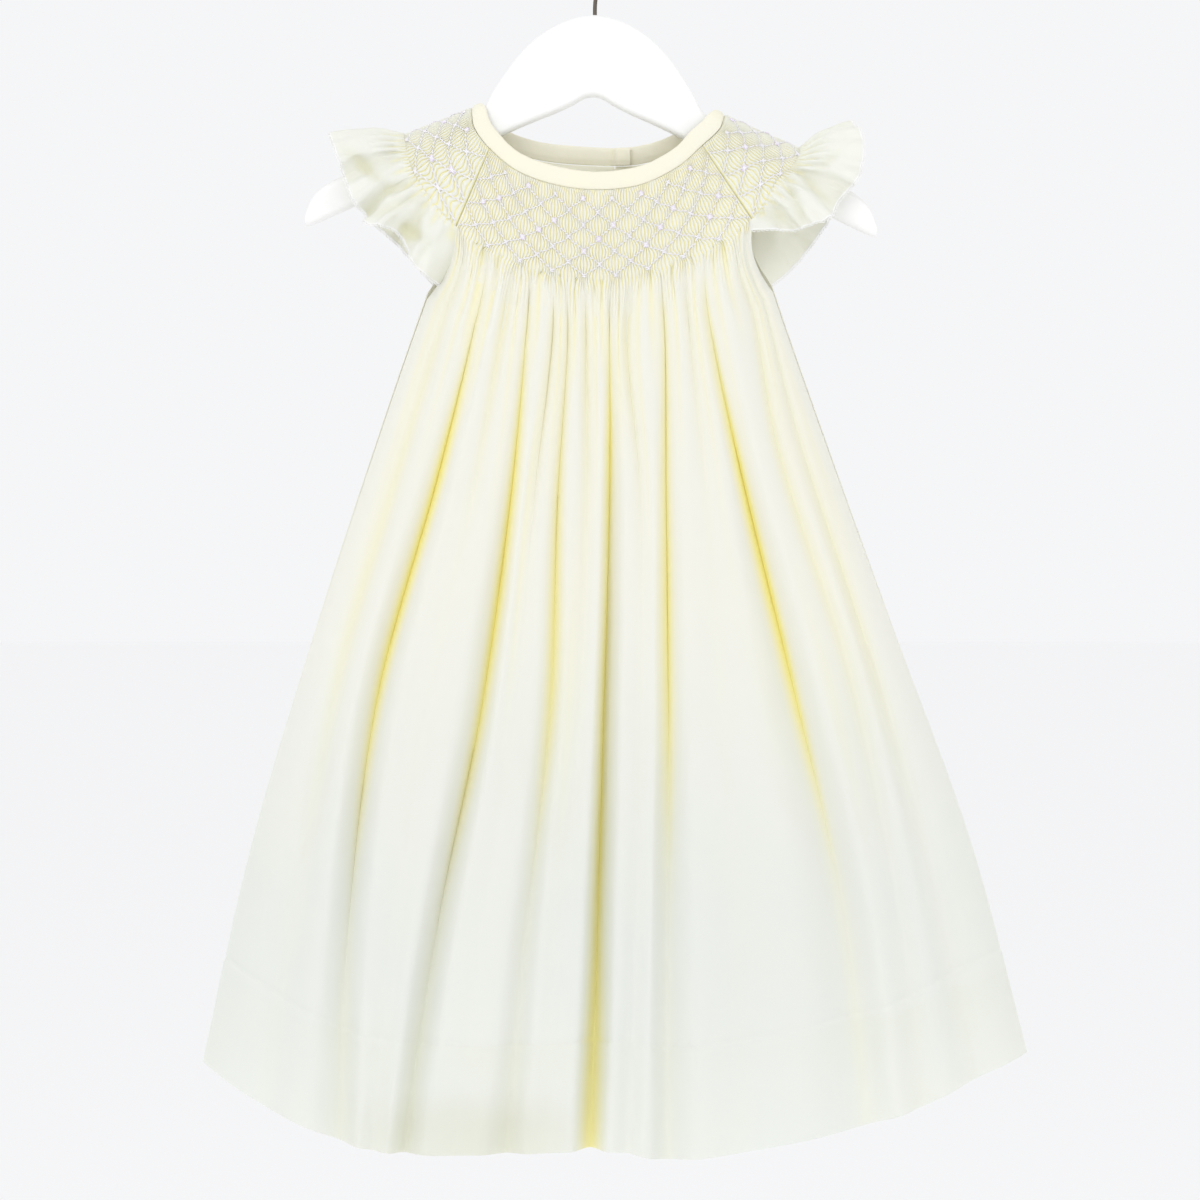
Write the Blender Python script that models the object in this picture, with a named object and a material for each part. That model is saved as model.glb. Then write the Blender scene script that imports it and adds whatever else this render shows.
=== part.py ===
"""A child's smocked bishop dress, hanging flat on a painted wooden hanger.

Metres, +Z up. The origin is the top of the inside of the hook, where it rests on a rail. The front of
the dress faces -Y and its wearer's right side lies towards -X. Tables are in millimetres.
"""

import bmesh
import bpy
from math import cos, pi, radians, sin
from mathutils import Matrix, Vector

MM = 0.001

# Cloth
WALL = 0.0012
HALF_WALL = WALL / 2
HEM_EXTRA = 0.0006
SEAM_GAP = 0.0003
SIDE_SEAM_Y = 0.0013
SEAM_CLEARANCE = 0.00016

# Smocked pleats
FRONT_PLEATS = 60
BACK_PLEATS = 27
SLEEVE_PLEATS = 22
PLEAT_VALLEY = 0.0003
PLEAT_RIDGE = 0.0011
YOKE_ROWS = (0.0, 0.2, 0.4, 0.6, 0.8, 1.0)
YOKE_LINING_ROWS = (0.0, 0.5, 1.0)
RAGLAN_INSET = 0.010

# Skirt
COLUMNS_PER_FOLD = 4
ARMHOLE_SHARE = 0.084
ARMHOLE_HOLLOW = 0.0042
HEM_LINE = 0.875
HEM_STEP = 0.012
ROLL_SHARE = 0.09
SKIRT_ROWS = (0.022, 0.05, 0.084, 0.15, 0.24, 0.35, 0.47, 0.6, 0.74, 0.863, 0.888, 0.95, 1.0)
HEIGHTS = (0.0, 0.084, 0.25, 0.5, 0.75, 1.0)
DEPTH_HEIGHTS = (0.0, 0.06, 0.4, 1.0)
FRONT_FULLNESS = (0.019, 0.0225, 0.031, 0.040)
BACK_FULLNESS = (0.016, 0.0180, 0.022, 0.026)
ENVELOPE_POWER = 4.0
ENVELOPE_EASE = 0.8
SHARP_RIDGE = 0.38
SOFT_RIDGE = 1.0

# Neck binding
BINDING_WIDTH = 0.0092
BINDING_SHOULDER_WIDTH = 0.0056
BINDING_HALF_THICKNESS = 0.0011
BINDING_STEPS = 3
BINDING_SIDES = 8

# Flutter sleeves
FLUTTER_ROWS = (0.2, 0.42, 0.64, 0.84, 1.0)
FLUTTER_COLUMNS = 2
FLUTTER_PUFF = 0.003
SLEEVE_SEAM_GAP = 0.0016
SLEEVE_TIP_GAP = 0.0014

# Back closing
BUTTON_RADIUS = 0.0045
BUTTON_THICKNESS = 0.002
BUTTON_SEGMENTS = 20
BUTTON_BEVEL = 0.0005
BUTTON_CLEARANCE = 0.0003
BUTTON_HEIGHTS = (0.14, 0.88)
LOW_BUTTON_DROP = 0.062
PLACKET_HALF_WIDTH = 0.009
PLACKET_THICKNESS = 0.001
PLACKET_ROWS = 7
PLACKET_END = 0.22

# Hanger
HANGER_THICKNESS = 0.010
HANGER_BEVEL = 0.0034
HANGER_CORNER_STEPS = 3
HANGER_TILT = radians(1.1)
HANGER_TOP_Z = -0.0553
WIRE_RADIUS = 0.0010
WIRE_SIDES_LEVEL = 2
BORE_DEPTH = 0.010
BORE_CLEARANCE = 0.0003
HOOK_RADIUS = 0.0195
HOOK_START = radians(-58)
HOOK_END = radians(196)
HOOK_STEPS = 26

# The ring of the yoke: the neck seam and the lower edge of the smocking, in mm, a row for each station,
# from the middle of the back round the left of the picture to the front and back again.
RING = (
    # station                 neck_x  neck_y  neck_z  base_x  base_y  base_z
    ("back_centre",            10.0,   12.5, -129.5,    9.0,   16.0, -184.0),
    ("back_left_a",           -19.5,   12.0, -128.0,  -21.5,   16.0, -181.0),
    ("back_left_b",           -38.5,   11.0, -124.0,  -46.5,   15.0, -172.5),
    ("raglan_back_left",      -53.5,    9.5, -117.0,  -70.0,   13.5, -158.0),
    ("side_back_left",        -60.0,    8.4, -110.5,  -89.0,   11.0, -135.5),
    ("shoulder_back_left",    -61.5,    6.2, -105.2,  -93.5,    7.5, -123.0),
    ("shoulder_left",         -61.5,    0.0, -102.0,  -95.0,    0.0, -115.5),
    ("shoulder_front_left",   -61.5,   -6.2, -105.2,  -93.5,   -8.0, -123.5),
    ("side_front_left",       -60.0,   -8.7, -113.0,  -88.0,  -12.0, -139.0),
    ("raglan_front_left",     -52.5,  -10.0, -123.0,  -69.0,  -15.0, -162.0),
    ("front_left_b",          -38.5,  -12.0, -134.5,  -45.5,  -18.0, -177.0),
    ("front_left_a",          -19.5,  -13.5, -141.5,  -21.5,  -19.0, -185.5),
    ("front_centre",            1.0,  -14.0, -144.0,    2.5,  -19.0, -188.5),
    ("front_right_a",          22.5,  -13.5, -141.5,   26.5,  -19.0, -184.5),
    ("front_right_b",          41.0,  -12.0, -132.5,   53.0,  -18.0, -174.5),
    ("raglan_front_right",     53.5,  -10.0, -121.5,   78.0,  -15.0, -158.5),
    ("side_front_right",       61.5,   -8.7, -114.0,   90.5,  -12.0, -139.0),
    ("shoulder_front_right",   64.0,   -6.2, -108.6,  100.0,   -8.0, -130.0),
    ("shoulder_right",         64.5,    0.0, -105.4,  102.5,    0.0, -122.5),
    ("shoulder_back_right",    64.0,    6.2, -108.6,  100.0,    7.5, -129.5),
    ("side_back_right",        61.5,    8.4, -112.5,   91.5,   11.0, -136.0),
    ("raglan_back_right",      54.0,    9.5, -116.0,   79.0,   13.5, -155.0),
    ("back_right_b",           41.0,   11.0, -123.0,   54.0,   15.0, -170.0),
    ("back_right_a",           26.0,   12.0, -128.0,   30.0,   16.0, -180.0),
)
STATION = {row[0]: index for index, row in enumerate(RING)}
RING_COUNT = len(RING)

# Fold lines of the front skirt: the station they hang from, their x at each of HEIGHTS below the yoke,
# the z of the hem under them, how deep the valley is at the gathers, the middle and the hem, and how far
# the hem rolls back there. All in mm but the station.
FRONT_FOLDS = (
    # station  x_arm   x_high  x_mid   x_low   x_hem   hem_z  gather middle hem   roll
    ( 9.00,    -83.5, -107.5, -141.5, -172.5, -195.5, -578.0,  0.0,   0.0,   0.0,  0.0),
    ( 9.22,    -73.7,  -95.2, -126.5, -146.0, -163.6, -598.0,  3.0,   4.0,   5.0,  0.0),
    ( 9.71,    -59.9,  -78.0, -108.3, -122.0, -126.3, -614.0,  4.5,  15.0,   9.0,  2.0),
    (10.22,    -46.5,  -59.2,  -82.2,  -98.2, -109.5, -618.5,  4.0,   1.0,   3.0,  4.0),
    (10.57,    -34.9,  -42.0,  -57.1,  -78.5,  -94.7, -620.5,  5.0,  15.0,  11.0,  6.0),
    (11.05,    -21.3,  -29.6,  -39.9,  -55.5,  -68.7, -621.0,  4.0,   1.0,   1.0,  8.0),
    (11.32,    -13.8,  -18.7,  -22.6,  -34.3,  -44.1, -620.5,  4.0,   8.0,   8.0,  9.0),
    (11.71,     -4.4,   -4.4,   -8.3,  -16.1,  -23.0, -619.5,  4.0,   2.0,   1.0,  6.0),
    (12.21,      8.4,    8.9,    5.9,    2.0,   -2.4, -618.0,  5.0,  20.0,  18.0,  0.0),
    (12.64,     15.9,   22.2,   22.2,   20.2,   16.2, -619.0,  4.0,   1.0,   4.0,  0.0),
    (13.23,     34.9,   35.6,   36.5,   36.0,   35.9, -622.5,  5.0,   9.0,   9.0,  0.0),
    (13.66,     47.0,   54.3,   62.6,   70.4,   73.7, -618.5,  3.0,   1.0,   4.0,  0.0),
    (14.04,     57.4,   72.6,   98.6,  122.0,  134.0, -606.0,  5.0,  15.0,   9.0,  0.0),
    (14.57,     78.2,   91.0,  124.7,  147.5,  162.0, -597.0,  3.0,   4.0,   4.0,  0.0),
    (14.81,     83.7,  101.2,  135.5,  164.5,  188.0, -585.0,  2.0,   4.0,   5.0,  0.0),
    (15.00,     88.5,  112.5,  150.0,  188.0,  215.5, -573.5,  0.0,   0.0,   0.0,  0.0),
)

# Fold lines of the back skirt, in the same columns, from the right side seam to the left one.
BACK_FOLDS = (
    (21.00,     88.5,  112.5,  150.0,  188.0,  215.5, -573.5,  0.0,   0.0,   0.0,  0.0),
    (21.35,     74.0,   96.0,  129.0,  160.0,  184.0, -588.0,  2.5,   4.0,   4.0,  0.0),
    (21.85,     60.5,   76.0,  103.0,  126.0,  143.0, -601.0,  3.0,   8.0,   6.0,  0.0),
    (22.40,     46.0,   57.0,   74.0,   90.0,  101.0, -611.0,  3.0,   4.0,   5.0,  0.0),
    (22.95,     32.5,   38.0,   46.0,   53.0,   58.0, -616.0,  3.0,   9.0,   7.0,  0.0),
    (23.50,     20.5,   23.0,   25.0,   27.0,   28.0, -618.0,  2.0,   3.0,   3.0,  0.0),
    (24.00,      8.8,    8.5,    8.0,    7.0,    6.0, -618.5,  0.0,   0.0,   0.0,  0.0),
    (24.40,     -4.5,   -6.0,   -9.0,  -12.0,  -15.0, -618.5,  2.0,   3.0,   4.0,  0.0),
    (24.90,    -18.5,  -23.0,  -31.0,  -40.0,  -47.0, -618.0,  3.0,   8.0,   7.0,  0.0),
    (25.45,    -35.0,  -43.0,  -57.0,  -71.0,  -82.0, -616.0,  3.0,   4.0,   4.0,  0.0),
    (25.95,    -50.0,  -63.0,  -85.0, -104.0, -118.0, -610.0,  3.0,   9.0,   6.0,  0.0),
    (26.50,    -66.5,  -86.0, -114.0, -139.0, -158.0, -598.0,  2.5,   4.0,   4.0,  0.0),
    (27.00,    -83.5, -107.5, -141.5, -172.5, -195.5, -578.0,  0.0,   0.0,   0.0,  0.0),
)
BACK_MIDDLE_FOLD = 6

# Free edges of the flutter sleeves: the station each spoke leaves and where it ends, in mm.
LEFT_SPOKES = (
    # station edge_x  edge_y  edge_z
    (3.00,    -77.5,    5.0, -190.0),
    (3.20,    -85.0,   15.0, -184.0),
    (3.40,    -91.0,   12.0, -177.0),
    (3.65,    -98.0,   20.0, -169.0),
    (3.90,   -105.0,   13.0, -163.0),
    (4.15,   -111.0,   20.0, -157.0),
    (4.40,   -116.0,   12.0, -150.0),
    (4.70,   -121.0,   19.0, -142.0),
    (5.00,   -124.0,   10.0, -134.0),
    (5.40,   -128.0,   14.0, -124.0),
    (5.80,   -131.0,    5.0, -117.0),
    (6.15,   -132.0,   -3.0, -115.0),
    (6.50,   -129.5,  -12.0, -121.5),
    (6.90,   -126.5,  -17.0, -129.5),
    (7.20,   -124.5,  -11.0, -136.5),
    (7.45,   -121.5,  -17.0, -143.5),
    (7.65,   -119.0,  -22.0, -150.5),
    (7.85,   -114.0,  -12.0, -155.0),
    (8.00,   -114.0,  -21.0, -160.0),
    (8.20,   -106.5,  -25.0, -162.0),
    (8.35,    -99.0,  -16.0, -164.0),
    (8.50,    -94.0,  -11.0, -170.0),
    (8.65,    -91.0,  -20.0, -178.5),
    (8.85,    -84.5,  -17.0, -185.5),
    (9.00,    -77.0,   -5.0, -190.0),
)
RIGHT_SPOKES = (
    (15.00,    82.0,  -14.0, -163.5),
    (15.20,    90.0,  -14.0, -163.0),
    (15.42,    99.0,  -12.0, -163.5),
    (15.62,   103.0,  -20.0, -162.5),
    (15.85,   110.0,  -25.0, -160.5),
    (16.05,   117.0,  -22.0, -157.0),
    (16.30,   120.0,  -14.0, -150.0),
    (16.55,   125.0,  -12.0, -144.0),
    (16.80,   129.5,  -19.0, -139.0),
    (17.10,   132.0,  -21.0, -131.0),
    (17.40,   133.0,  -15.0, -120.5),
    (17.75,   131.0,   -8.0, -112.5),
    (18.05,   127.5,    0.0, -109.0),
    (18.40,   129.0,    8.0, -113.5),
    (18.80,   130.0,   15.0, -121.0),
    (19.20,   127.0,   10.0, -131.0),
    (19.60,   126.0,   18.0, -140.0),
    (19.95,   121.0,   12.0, -149.0),
    (20.20,   117.0,   20.0, -156.0),
    (20.42,   112.0,   14.0, -164.0),
    (20.62,   105.0,   20.0, -173.0),
    (20.82,    97.0,   14.0, -182.0),
    (21.00,    86.5,    6.0, -190.5),
)

# Half of the hanger's outline, in mm, out from its middle.
HANGER_HALF = (
    # out     top     bottom
    (0.0,    -55.3,   -96.0),
    (4.5,    -55.8,   -97.0),
    (10.0,   -57.0,  -100.2),
    (18.0,   -60.2,  -104.2),
    (27.0,   -65.8,  -108.0),
    (34.0,   -72.0,  -111.0),
    (40.0,   -79.0,  -113.8),
    (45.5,   -87.0,  -116.5),
    (50.0,   -94.2,  -118.8),
    (54.0,  -101.6,  -121.0),
    (57.5,  -104.5,  -122.8),
    (62.5,  -106.3,  -125.2),
    (70.0,  -110.2,  -128.9),
    (87.5,  -119.8,  -137.6),
    (107.5, -129.6,  -147.6),
    (124.5, -138.2,  -156.0),
    (134.0, -143.6,  -160.4),
    (139.5, -149.6,  -162.8),
    (142.6, -157.0,  -163.4),
)

# Middle line of the wire below the round of the hook, in mm.
HOOK_STEM = (
    # x      z
    (0.0,   -64.5),
    (0.0,   -58.0),
    (0.0,   -51.0),
    (0.6,   -46.0),
    (2.8,   -41.6),
    (6.6,   -38.2),
)

PALE_YELLOW = (0.93, 0.91, 0.66, 1.0)
CREAM = (0.96, 0.93, 0.74, 1.0)
WHITE_PAINT = (0.93, 0.93, 0.92, 1.0)
DARK_STEEL = (0.09, 0.08, 0.07, 1.0)
PEARL = (0.90, 0.88, 0.82, 1.0)


# Small helpers

def mix(a, b, share):
    return a + (b - a) * share


def smooth(value):
    share = min(max(value, 0.0), 1.0)
    return share * share * (3 - 2 * share)


def between(values, at):
    """The smooth curve through evenly spaced values, read at a fractional index."""
    last = len(values) - 1
    index = min(max(int(at), 0), last - 1)
    t = at - index
    before = values[max(index - 1, 0)]
    start = values[index]
    end = values[index + 1]
    after = values[min(index + 2, last)]
    pull_in = (end - before) * 0.5
    pull_out = (after - start) * 0.5
    return (start * (2 * t**3 - 3 * t**2 + 1) + pull_in * (t**3 - 2 * t**2 + t)
            + end * (3 * t**2 - 2 * t**3) + pull_out * (t**3 - t**2))


def at_height(heights, values, height):
    """The smooth curve through values that stand at uneven heights."""
    index = 0
    while index < len(heights) - 2 and height > heights[index + 1]:
        index += 1
    share = (height - heights[index]) / (heights[index + 1] - heights[index])
    slopes = []
    for spot in (index, index + 1):
        low = max(spot - 1, 0)
        high = min(spot + 1, len(heights) - 1)
        slopes.append((values[high] - values[low]) / (heights[high] - heights[low]))
    span = heights[index + 1] - heights[index]
    t = share
    return (values[index] * (2 * t**3 - 3 * t**2 + 1) + slopes[0] * span * (t**3 - 2 * t**2 + t)
            + values[index + 1] * (3 * t**2 - 2 * t**3) + slopes[1] * span * (t**3 - t**2))


def shares(count):
    return [step / count for step in range(count + 1)]


def column(table, index):
    return [row[index] for row in table]


# Meshes

def normals(rows):
    """Outward directions of a grid whose rows run round the body and follow each other down it."""
    result = []
    for r, row in enumerate(rows):
        above = rows[max(r - 1, 0)]
        below = rows[min(r + 1, len(rows) - 1)]
        line = []
        for c in range(len(row)):
            across = row[min(c + 1, len(row) - 1)] - row[max(c - 1, 0)]
            down = below[c] - above[c]
            line.append(down.cross(across).normalized())
        result.append(line)
    return result


def moved_out(rows, distance):
    """The grid moved along its normals by distance(row, column)."""
    directions = normals(rows)
    return [[point + directions[r][c] * distance(r, c) for c, point in enumerate(row)]
            for r, row in enumerate(rows)]


def join_rows(mesh, first, second):
    """Faces between two rows of vertices, which may differ in number."""
    if len(first) == len(second):
        for i in range(len(first) - 1):
            mesh.faces.new((first[i], first[i + 1], second[i + 1], second[i]))
        return
    i = 0
    j = 0
    while i < len(first) - 1 or j < len(second) - 1:
        along_first = i < len(first) - 1
        if along_first and j < len(second) - 1:
            reach_first = (first[i + 1].co - second[j].co).length
            reach_second = (second[j + 1].co - first[i].co).length
            along_first = reach_first <= reach_second
        if along_first:
            mesh.faces.new((first[i], first[i + 1], second[j]))
            i += 1
        else:
            mesh.faces.new((first[i], second[j + 1], second[j]))
            j += 1


def make_material(name, color, roughness, metallic=0.0):
    material = bpy.data.materials.new(name)
    material.use_nodes = True
    shader = material.node_tree.nodes["Principled BSDF"]
    shader.inputs["Base Color"].default_value = color
    shader.inputs["Roughness"].default_value = roughness
    shader.inputs["Metallic"].default_value = metallic
    material.diffuse_color = color
    return material


def add_object(name, mesh, material, sharp_angle=40):
    bmesh.ops.recalc_face_normals(mesh, faces=mesh.faces)
    data = bpy.data.meshes.new(name)
    mesh.to_mesh(data)
    mesh.free()
    data.materials.append(material)
    data.shade_smooth()
    data.set_sharp_from_angle(angle=radians(sharp_angle))
    piece = bpy.data.objects.new(name, data)
    bpy.context.scene.collection.objects.link(piece)
    return piece


def cloth_wall(name, outer, inner, material):
    """One closed wall between an outer and an inner stack of rows."""
    mesh = bmesh.new()
    outer_rows = [[mesh.verts.new(point) for point in row] for row in outer]
    inner_rows = [[mesh.verts.new(point) for point in row] for row in inner]
    for stack in (outer_rows, inner_rows):
        for upper, lower in zip(stack, stack[1:]):
            join_rows(mesh, upper, lower)
    join_rows(mesh, outer_rows[0], inner_rows[0])
    join_rows(mesh, outer_rows[-1], inner_rows[-1])
    for side in (0, -1):
        join_rows(mesh, column(outer_rows, side), column(inner_rows, side))
    return add_object(name, mesh, material)


# The yoke

def ring_point(first_column, station):
    wrapped = station % RING_COUNT
    index = int(wrapped)
    corners = []
    for offset in (-1, 0, 1, 2):
        row = RING[(index + offset) % RING_COUNT]
        corners.append(Vector(row[first_column:first_column + 3]) * MM)
    return between(corners, 1 + wrapped - index)


def neck_point(station):
    return ring_point(1, station)


def base_point(station):
    return ring_point(4, station)


def yoke_point(station, down):
    return neck_point(station).lerp(base_point(station), down)


def yoke_rows(start, end, columns, downs):
    return [[yoke_point(mix(start, end, share), down) for share in shares(columns)] for down in downs]


def pleated(start, end, pleats):
    """Outer points of a smocked stretch: a ridge and a valley for each pleat."""
    rows = yoke_rows(start, end, 2 * pleats, YOKE_ROWS)
    return moved_out(rows, lambda r, c: PLEAT_RIDGE if c % 2 else PLEAT_VALLEY)


def plain_back(start, end, columns):
    rows = yoke_rows(start, end, columns, YOKE_LINING_ROWS)
    return moved_out(rows, lambda r, c: -HALF_WALL)


# The skirt

def ridge_profile(share, power):
    """Zero in the valleys at both ends of a fold, one on the ridge between them."""
    return sin(pi * share) ** power if 0 < share < 1 else 0.0


def fold_value(folds, index, at):
    return between(column(folds, index), at) * MM


def fold_depth(folds, at, down):
    """How far the cloth lies behind the ridges, at a fractional fold line."""
    index = min(int(at), len(folds) - 2)
    share = at - index
    nearest = folds[index] if share < 0.5 else folds[index + 1]
    depth = at_height(DEPTH_HEIGHTS, (0.0,) + nearest[7:10], down) * MM
    power = mix(SHARP_RIDGE, SOFT_RIDGE, smooth(down))
    return depth * (1 - ridge_profile(share, power))


def skirt_point(folds, side, fullness, at, down):
    """A point of the skirt. side is -1 on the front and 1 on the back."""
    station = between(column(folds, 0), at)
    base = base_point(station)
    across = [base.x] + [fold_value(folds, index, at) for index in range(1, 6)]
    x = at_height(HEIGHTS, across, down)
    z = mix(base.z, fold_value(folds, 6, at), down)
    edges = []
    for end in (0, len(folds) - 1):
        end_base = base_point(folds[end][0])
        edges.append(at_height(HEIGHTS, [end_base.x] + [folds[end][index] * MM for index in range(1, 6)], down))
    spread = (x - edges[0]) / (edges[1] - edges[0])
    arm = min(down / ARMHOLE_SHARE, 1.0)
    hollow = ARMHOLE_HOLLOW * sin(pi * arm) * abs(2 * spread - 1) ** 6
    x += hollow if x < 0 else -hollow
    edge_y = mix(base.y, side * SIDE_SEAM_Y, smooth(arm))
    envelope = max(1 - abs(2 * spread - 1) ** ENVELOPE_POWER, 0.0) ** ENVELOPE_EASE
    full_y = side * at_height(DEPTH_HEIGHTS, fullness, down)
    start_y = mix(base.y, full_y, smooth(down / DEPTH_HEIGHTS[1]))
    y = mix(edge_y, start_y, envelope)
    valley = min(fold_depth(folds, at, down), 0.8 * abs(y))
    roll = fold_value(folds, 10, at) * smooth((down - 1 + ROLL_SHARE) / ROLL_SHARE)
    return Vector((x, y - side * (valley + roll), z))


def skirt_rows(folds, side, fullness, first, last):
    steps = (last - first) * COLUMNS_PER_FOLD
    return [[skirt_point(folds, side, fullness, first + step / COLUMNS_PER_FOLD, down)
             for step in range(steps + 1)] for down in SKIRT_ROWS]


def skirt_walls(rows, side):
    """Outer and inner rows of a skirt panel, twice as thick within the turned-up hem."""
    def inward(r, c):
        hem = smooth((SKIRT_ROWS[r] - HEM_LINE + HEM_STEP) / (2 * HEM_STEP))
        return -HALF_WALL - HEM_EXTRA * hem

    outer = moved_out(rows, lambda r, c: HALF_WALL)
    inner = moved_out(rows, inward)
    for row in inner:
        for point in row:
            point.y = side * max(side * point.y, SEAM_CLEARANCE)
    for row in outer:
        for point in row:
            point.y = side * max(side * point.y, SEAM_CLEARANCE)
    return outer, inner


def nudged(rows, first_gap, last_gap):
    """The rows with their end points moved in by a seam's gap, towards the panel's middle."""
    for row in rows:
        if first_gap:
            row[0] = row[0] + (row[1] - row[0]).normalized() * first_gap
        if last_gap:
            row[-1] = row[-1] + (row[-2] - row[-1]).normalized() * last_gap
    return rows


def front(material):
    start = STATION["raglan_front_left"] + RAGLAN_INSET
    end = STATION["raglan_front_right"] - RAGLAN_INSET
    rows = skirt_rows(FRONT_FOLDS, -1, FRONT_FULLNESS, 0, len(FRONT_FOLDS) - 1)
    skirt_outer, skirt_inner = skirt_walls(rows, -1)
    outer = pleated(start, end, FRONT_PLEATS) + skirt_outer
    inner = plain_back(start, end, FRONT_PLEATS // 2) + skirt_inner
    return cloth_wall("front", outer, inner, material)


def backs(material):
    middle = STATION["back_centre"] + RING_COUNT
    right = STATION["raglan_back_right"] + RAGLAN_INSET
    left = STATION["raglan_back_left"] + RING_COUNT - RAGLAN_INSET
    halves = (
        ("back_right", right, middle - RAGLAN_INSET, 0, BACK_MIDDLE_FOLD),
        ("back_left", middle + RAGLAN_INSET, left, BACK_MIDDLE_FOLD, len(BACK_FOLDS) - 1),
    )
    for name, start, end, first, last in halves:
        rows = skirt_rows(BACK_FOLDS, 1, BACK_FULLNESS, first, last)
        rows = nudged(rows, SEAM_GAP if first else 0, 0 if first else SEAM_GAP)
        skirt_outer, skirt_inner = skirt_walls(rows, 1)
        outer = pleated(start, end, BACK_PLEATS) + skirt_outer
        inner = plain_back(start, end, BACK_PLEATS // 2) + skirt_inner
        cloth_wall(name, outer, inner, material)


# The sleeves

def armhole_point(station, edge_z, out):
    """A point on the sleeve's seam, beside the armhole edge of the front or the back."""
    folds, side, fullness = (FRONT_FOLDS, -1, FRONT_FULLNESS)
    if station not in (folds[0][0], folds[-1][0]):
        folds, side, fullness = (BACK_FOLDS, 1, BACK_FULLNESS)
        station += 0 if station > BACK_FOLDS[0][0] - 1 else RING_COUNT
    at = 0 if station == folds[0][0] else len(folds) - 1
    corner_z = base_point(station).z
    tip_share = (corner_z - edge_z) / (corner_z - folds[at][6] * MM)
    point = skirt_point(folds, side, fullness, at, out * tip_share)
    gap = SLEEVE_SEAM_GAP + SLEEVE_TIP_GAP * out
    point.x += gap if point.x > 0 else -gap
    return point


def flutter_point(spokes, at, out):
    station = between(column(spokes, 0), at)
    base = base_point(station)
    edge = Vector([between(column(spokes, index), at) for index in (1, 2, 3)]) * MM
    point = base.lerp(edge, out)
    share = at / (len(spokes) - 1)
    point.z += FLUTTER_PUFF * sin(pi * out) * sin(pi * share)
    for end in (0, len(spokes) - 1):
        beside = 1 - abs(at - end)
        if beside > 0:
            seam = armhole_point(spokes[end][0], spokes[end][3] * MM, out)
            point = point.lerp(seam, beside)
    return point


def sleeve(name, spokes, start, end, material):
    steps = (len(spokes) - 1) * FLUTTER_COLUMNS
    rows = [[flutter_point(spokes, step / FLUTTER_COLUMNS, out) for step in range(steps + 1)]
            for out in FLUTTER_ROWS]
    outer = pleated(start, end, SLEEVE_PLEATS) + moved_out(rows, lambda r, c: HALF_WALL)
    inner = plain_back(start, end, SLEEVE_PLEATS) + moved_out(rows, lambda r, c: -HALF_WALL)
    cloth_wall(name, outer, inner, material)


def sleeves(material):
    sleeve("sleeve_left", LEFT_SPOKES, STATION["raglan_back_left"] + RAGLAN_INSET,
           STATION["raglan_front_left"] - RAGLAN_INSET, material)
    sleeve("sleeve_right", RIGHT_SPOKES, STATION["raglan_front_right"] + RAGLAN_INSET,
           STATION["raglan_back_right"] - RAGLAN_INSET, material)


# The binding

def shoulder_share(station):
    """One on top of a shoulder, none two stations away from it."""
    nearest = min(abs(station % RING_COUNT - STATION[name]) for name in ("shoulder_left", "shoulder_right"))
    return smooth(1 - nearest / 2)


def binding_frame(station):
    """The middle of the binding, its way up and its outward direction."""
    neck = neck_point(station)
    up = (neck - base_point(station)).normalized()
    step = 0.05
    across = neck_point(station + step) - neck_point(station - step)
    outward = (-up).cross(across).normalized()
    return neck, up, outward


def neck_binding(material):
    mesh = bmesh.new()
    steps = RING_COUNT * BINDING_STEPS
    rings = []
    for share in shares(steps):
        station = mix(RAGLAN_INSET, RING_COUNT - RAGLAN_INSET, share)
        neck, up, outward = binding_frame(station)
        width = mix(BINDING_WIDTH, BINDING_SHOULDER_WIDTH, shoulder_share(station))
        middle = neck + up * (SEAM_GAP + width / 2)
        loop = []
        for side in range(BINDING_SIDES):
            angle = 2 * pi * (side + 0.5) / BINDING_SIDES
            reach = up * (cos(angle) * width / 2) / cos(pi / BINDING_SIDES)
            swell = outward * (sin(angle) * BINDING_HALF_THICKNESS) / cos(pi / BINDING_SIDES)
            loop.append(mesh.verts.new(middle + reach + swell))
        rings.append(loop)
    for one, two in zip(rings, rings[1:]):
        for side in range(BINDING_SIDES):
            after = (side + 1) % BINDING_SIDES
            mesh.faces.new((one[side], one[after], two[after], two[side]))
    mesh.faces.new(rings[0])
    mesh.faces.new(rings[-1])
    add_object("neck_binding", mesh, material)


# The closing at the back

def back_surface(drop):
    """A point of the back's middle line, drop below the neck seam, and its outward direction."""
    station = STATION["back_centre"]
    neck = neck_point(station)
    base = base_point(station)
    length = (base - neck).length
    if drop <= length:
        return neck.lerp(base, drop / length)
    last = BACK_FOLDS[BACK_MIDDLE_FOLD][6] * MM
    down = (drop - length) / (base.z - last)
    return skirt_point(BACK_FOLDS, 1, BACK_FULLNESS, BACK_MIDDLE_FOLD, down)


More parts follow.
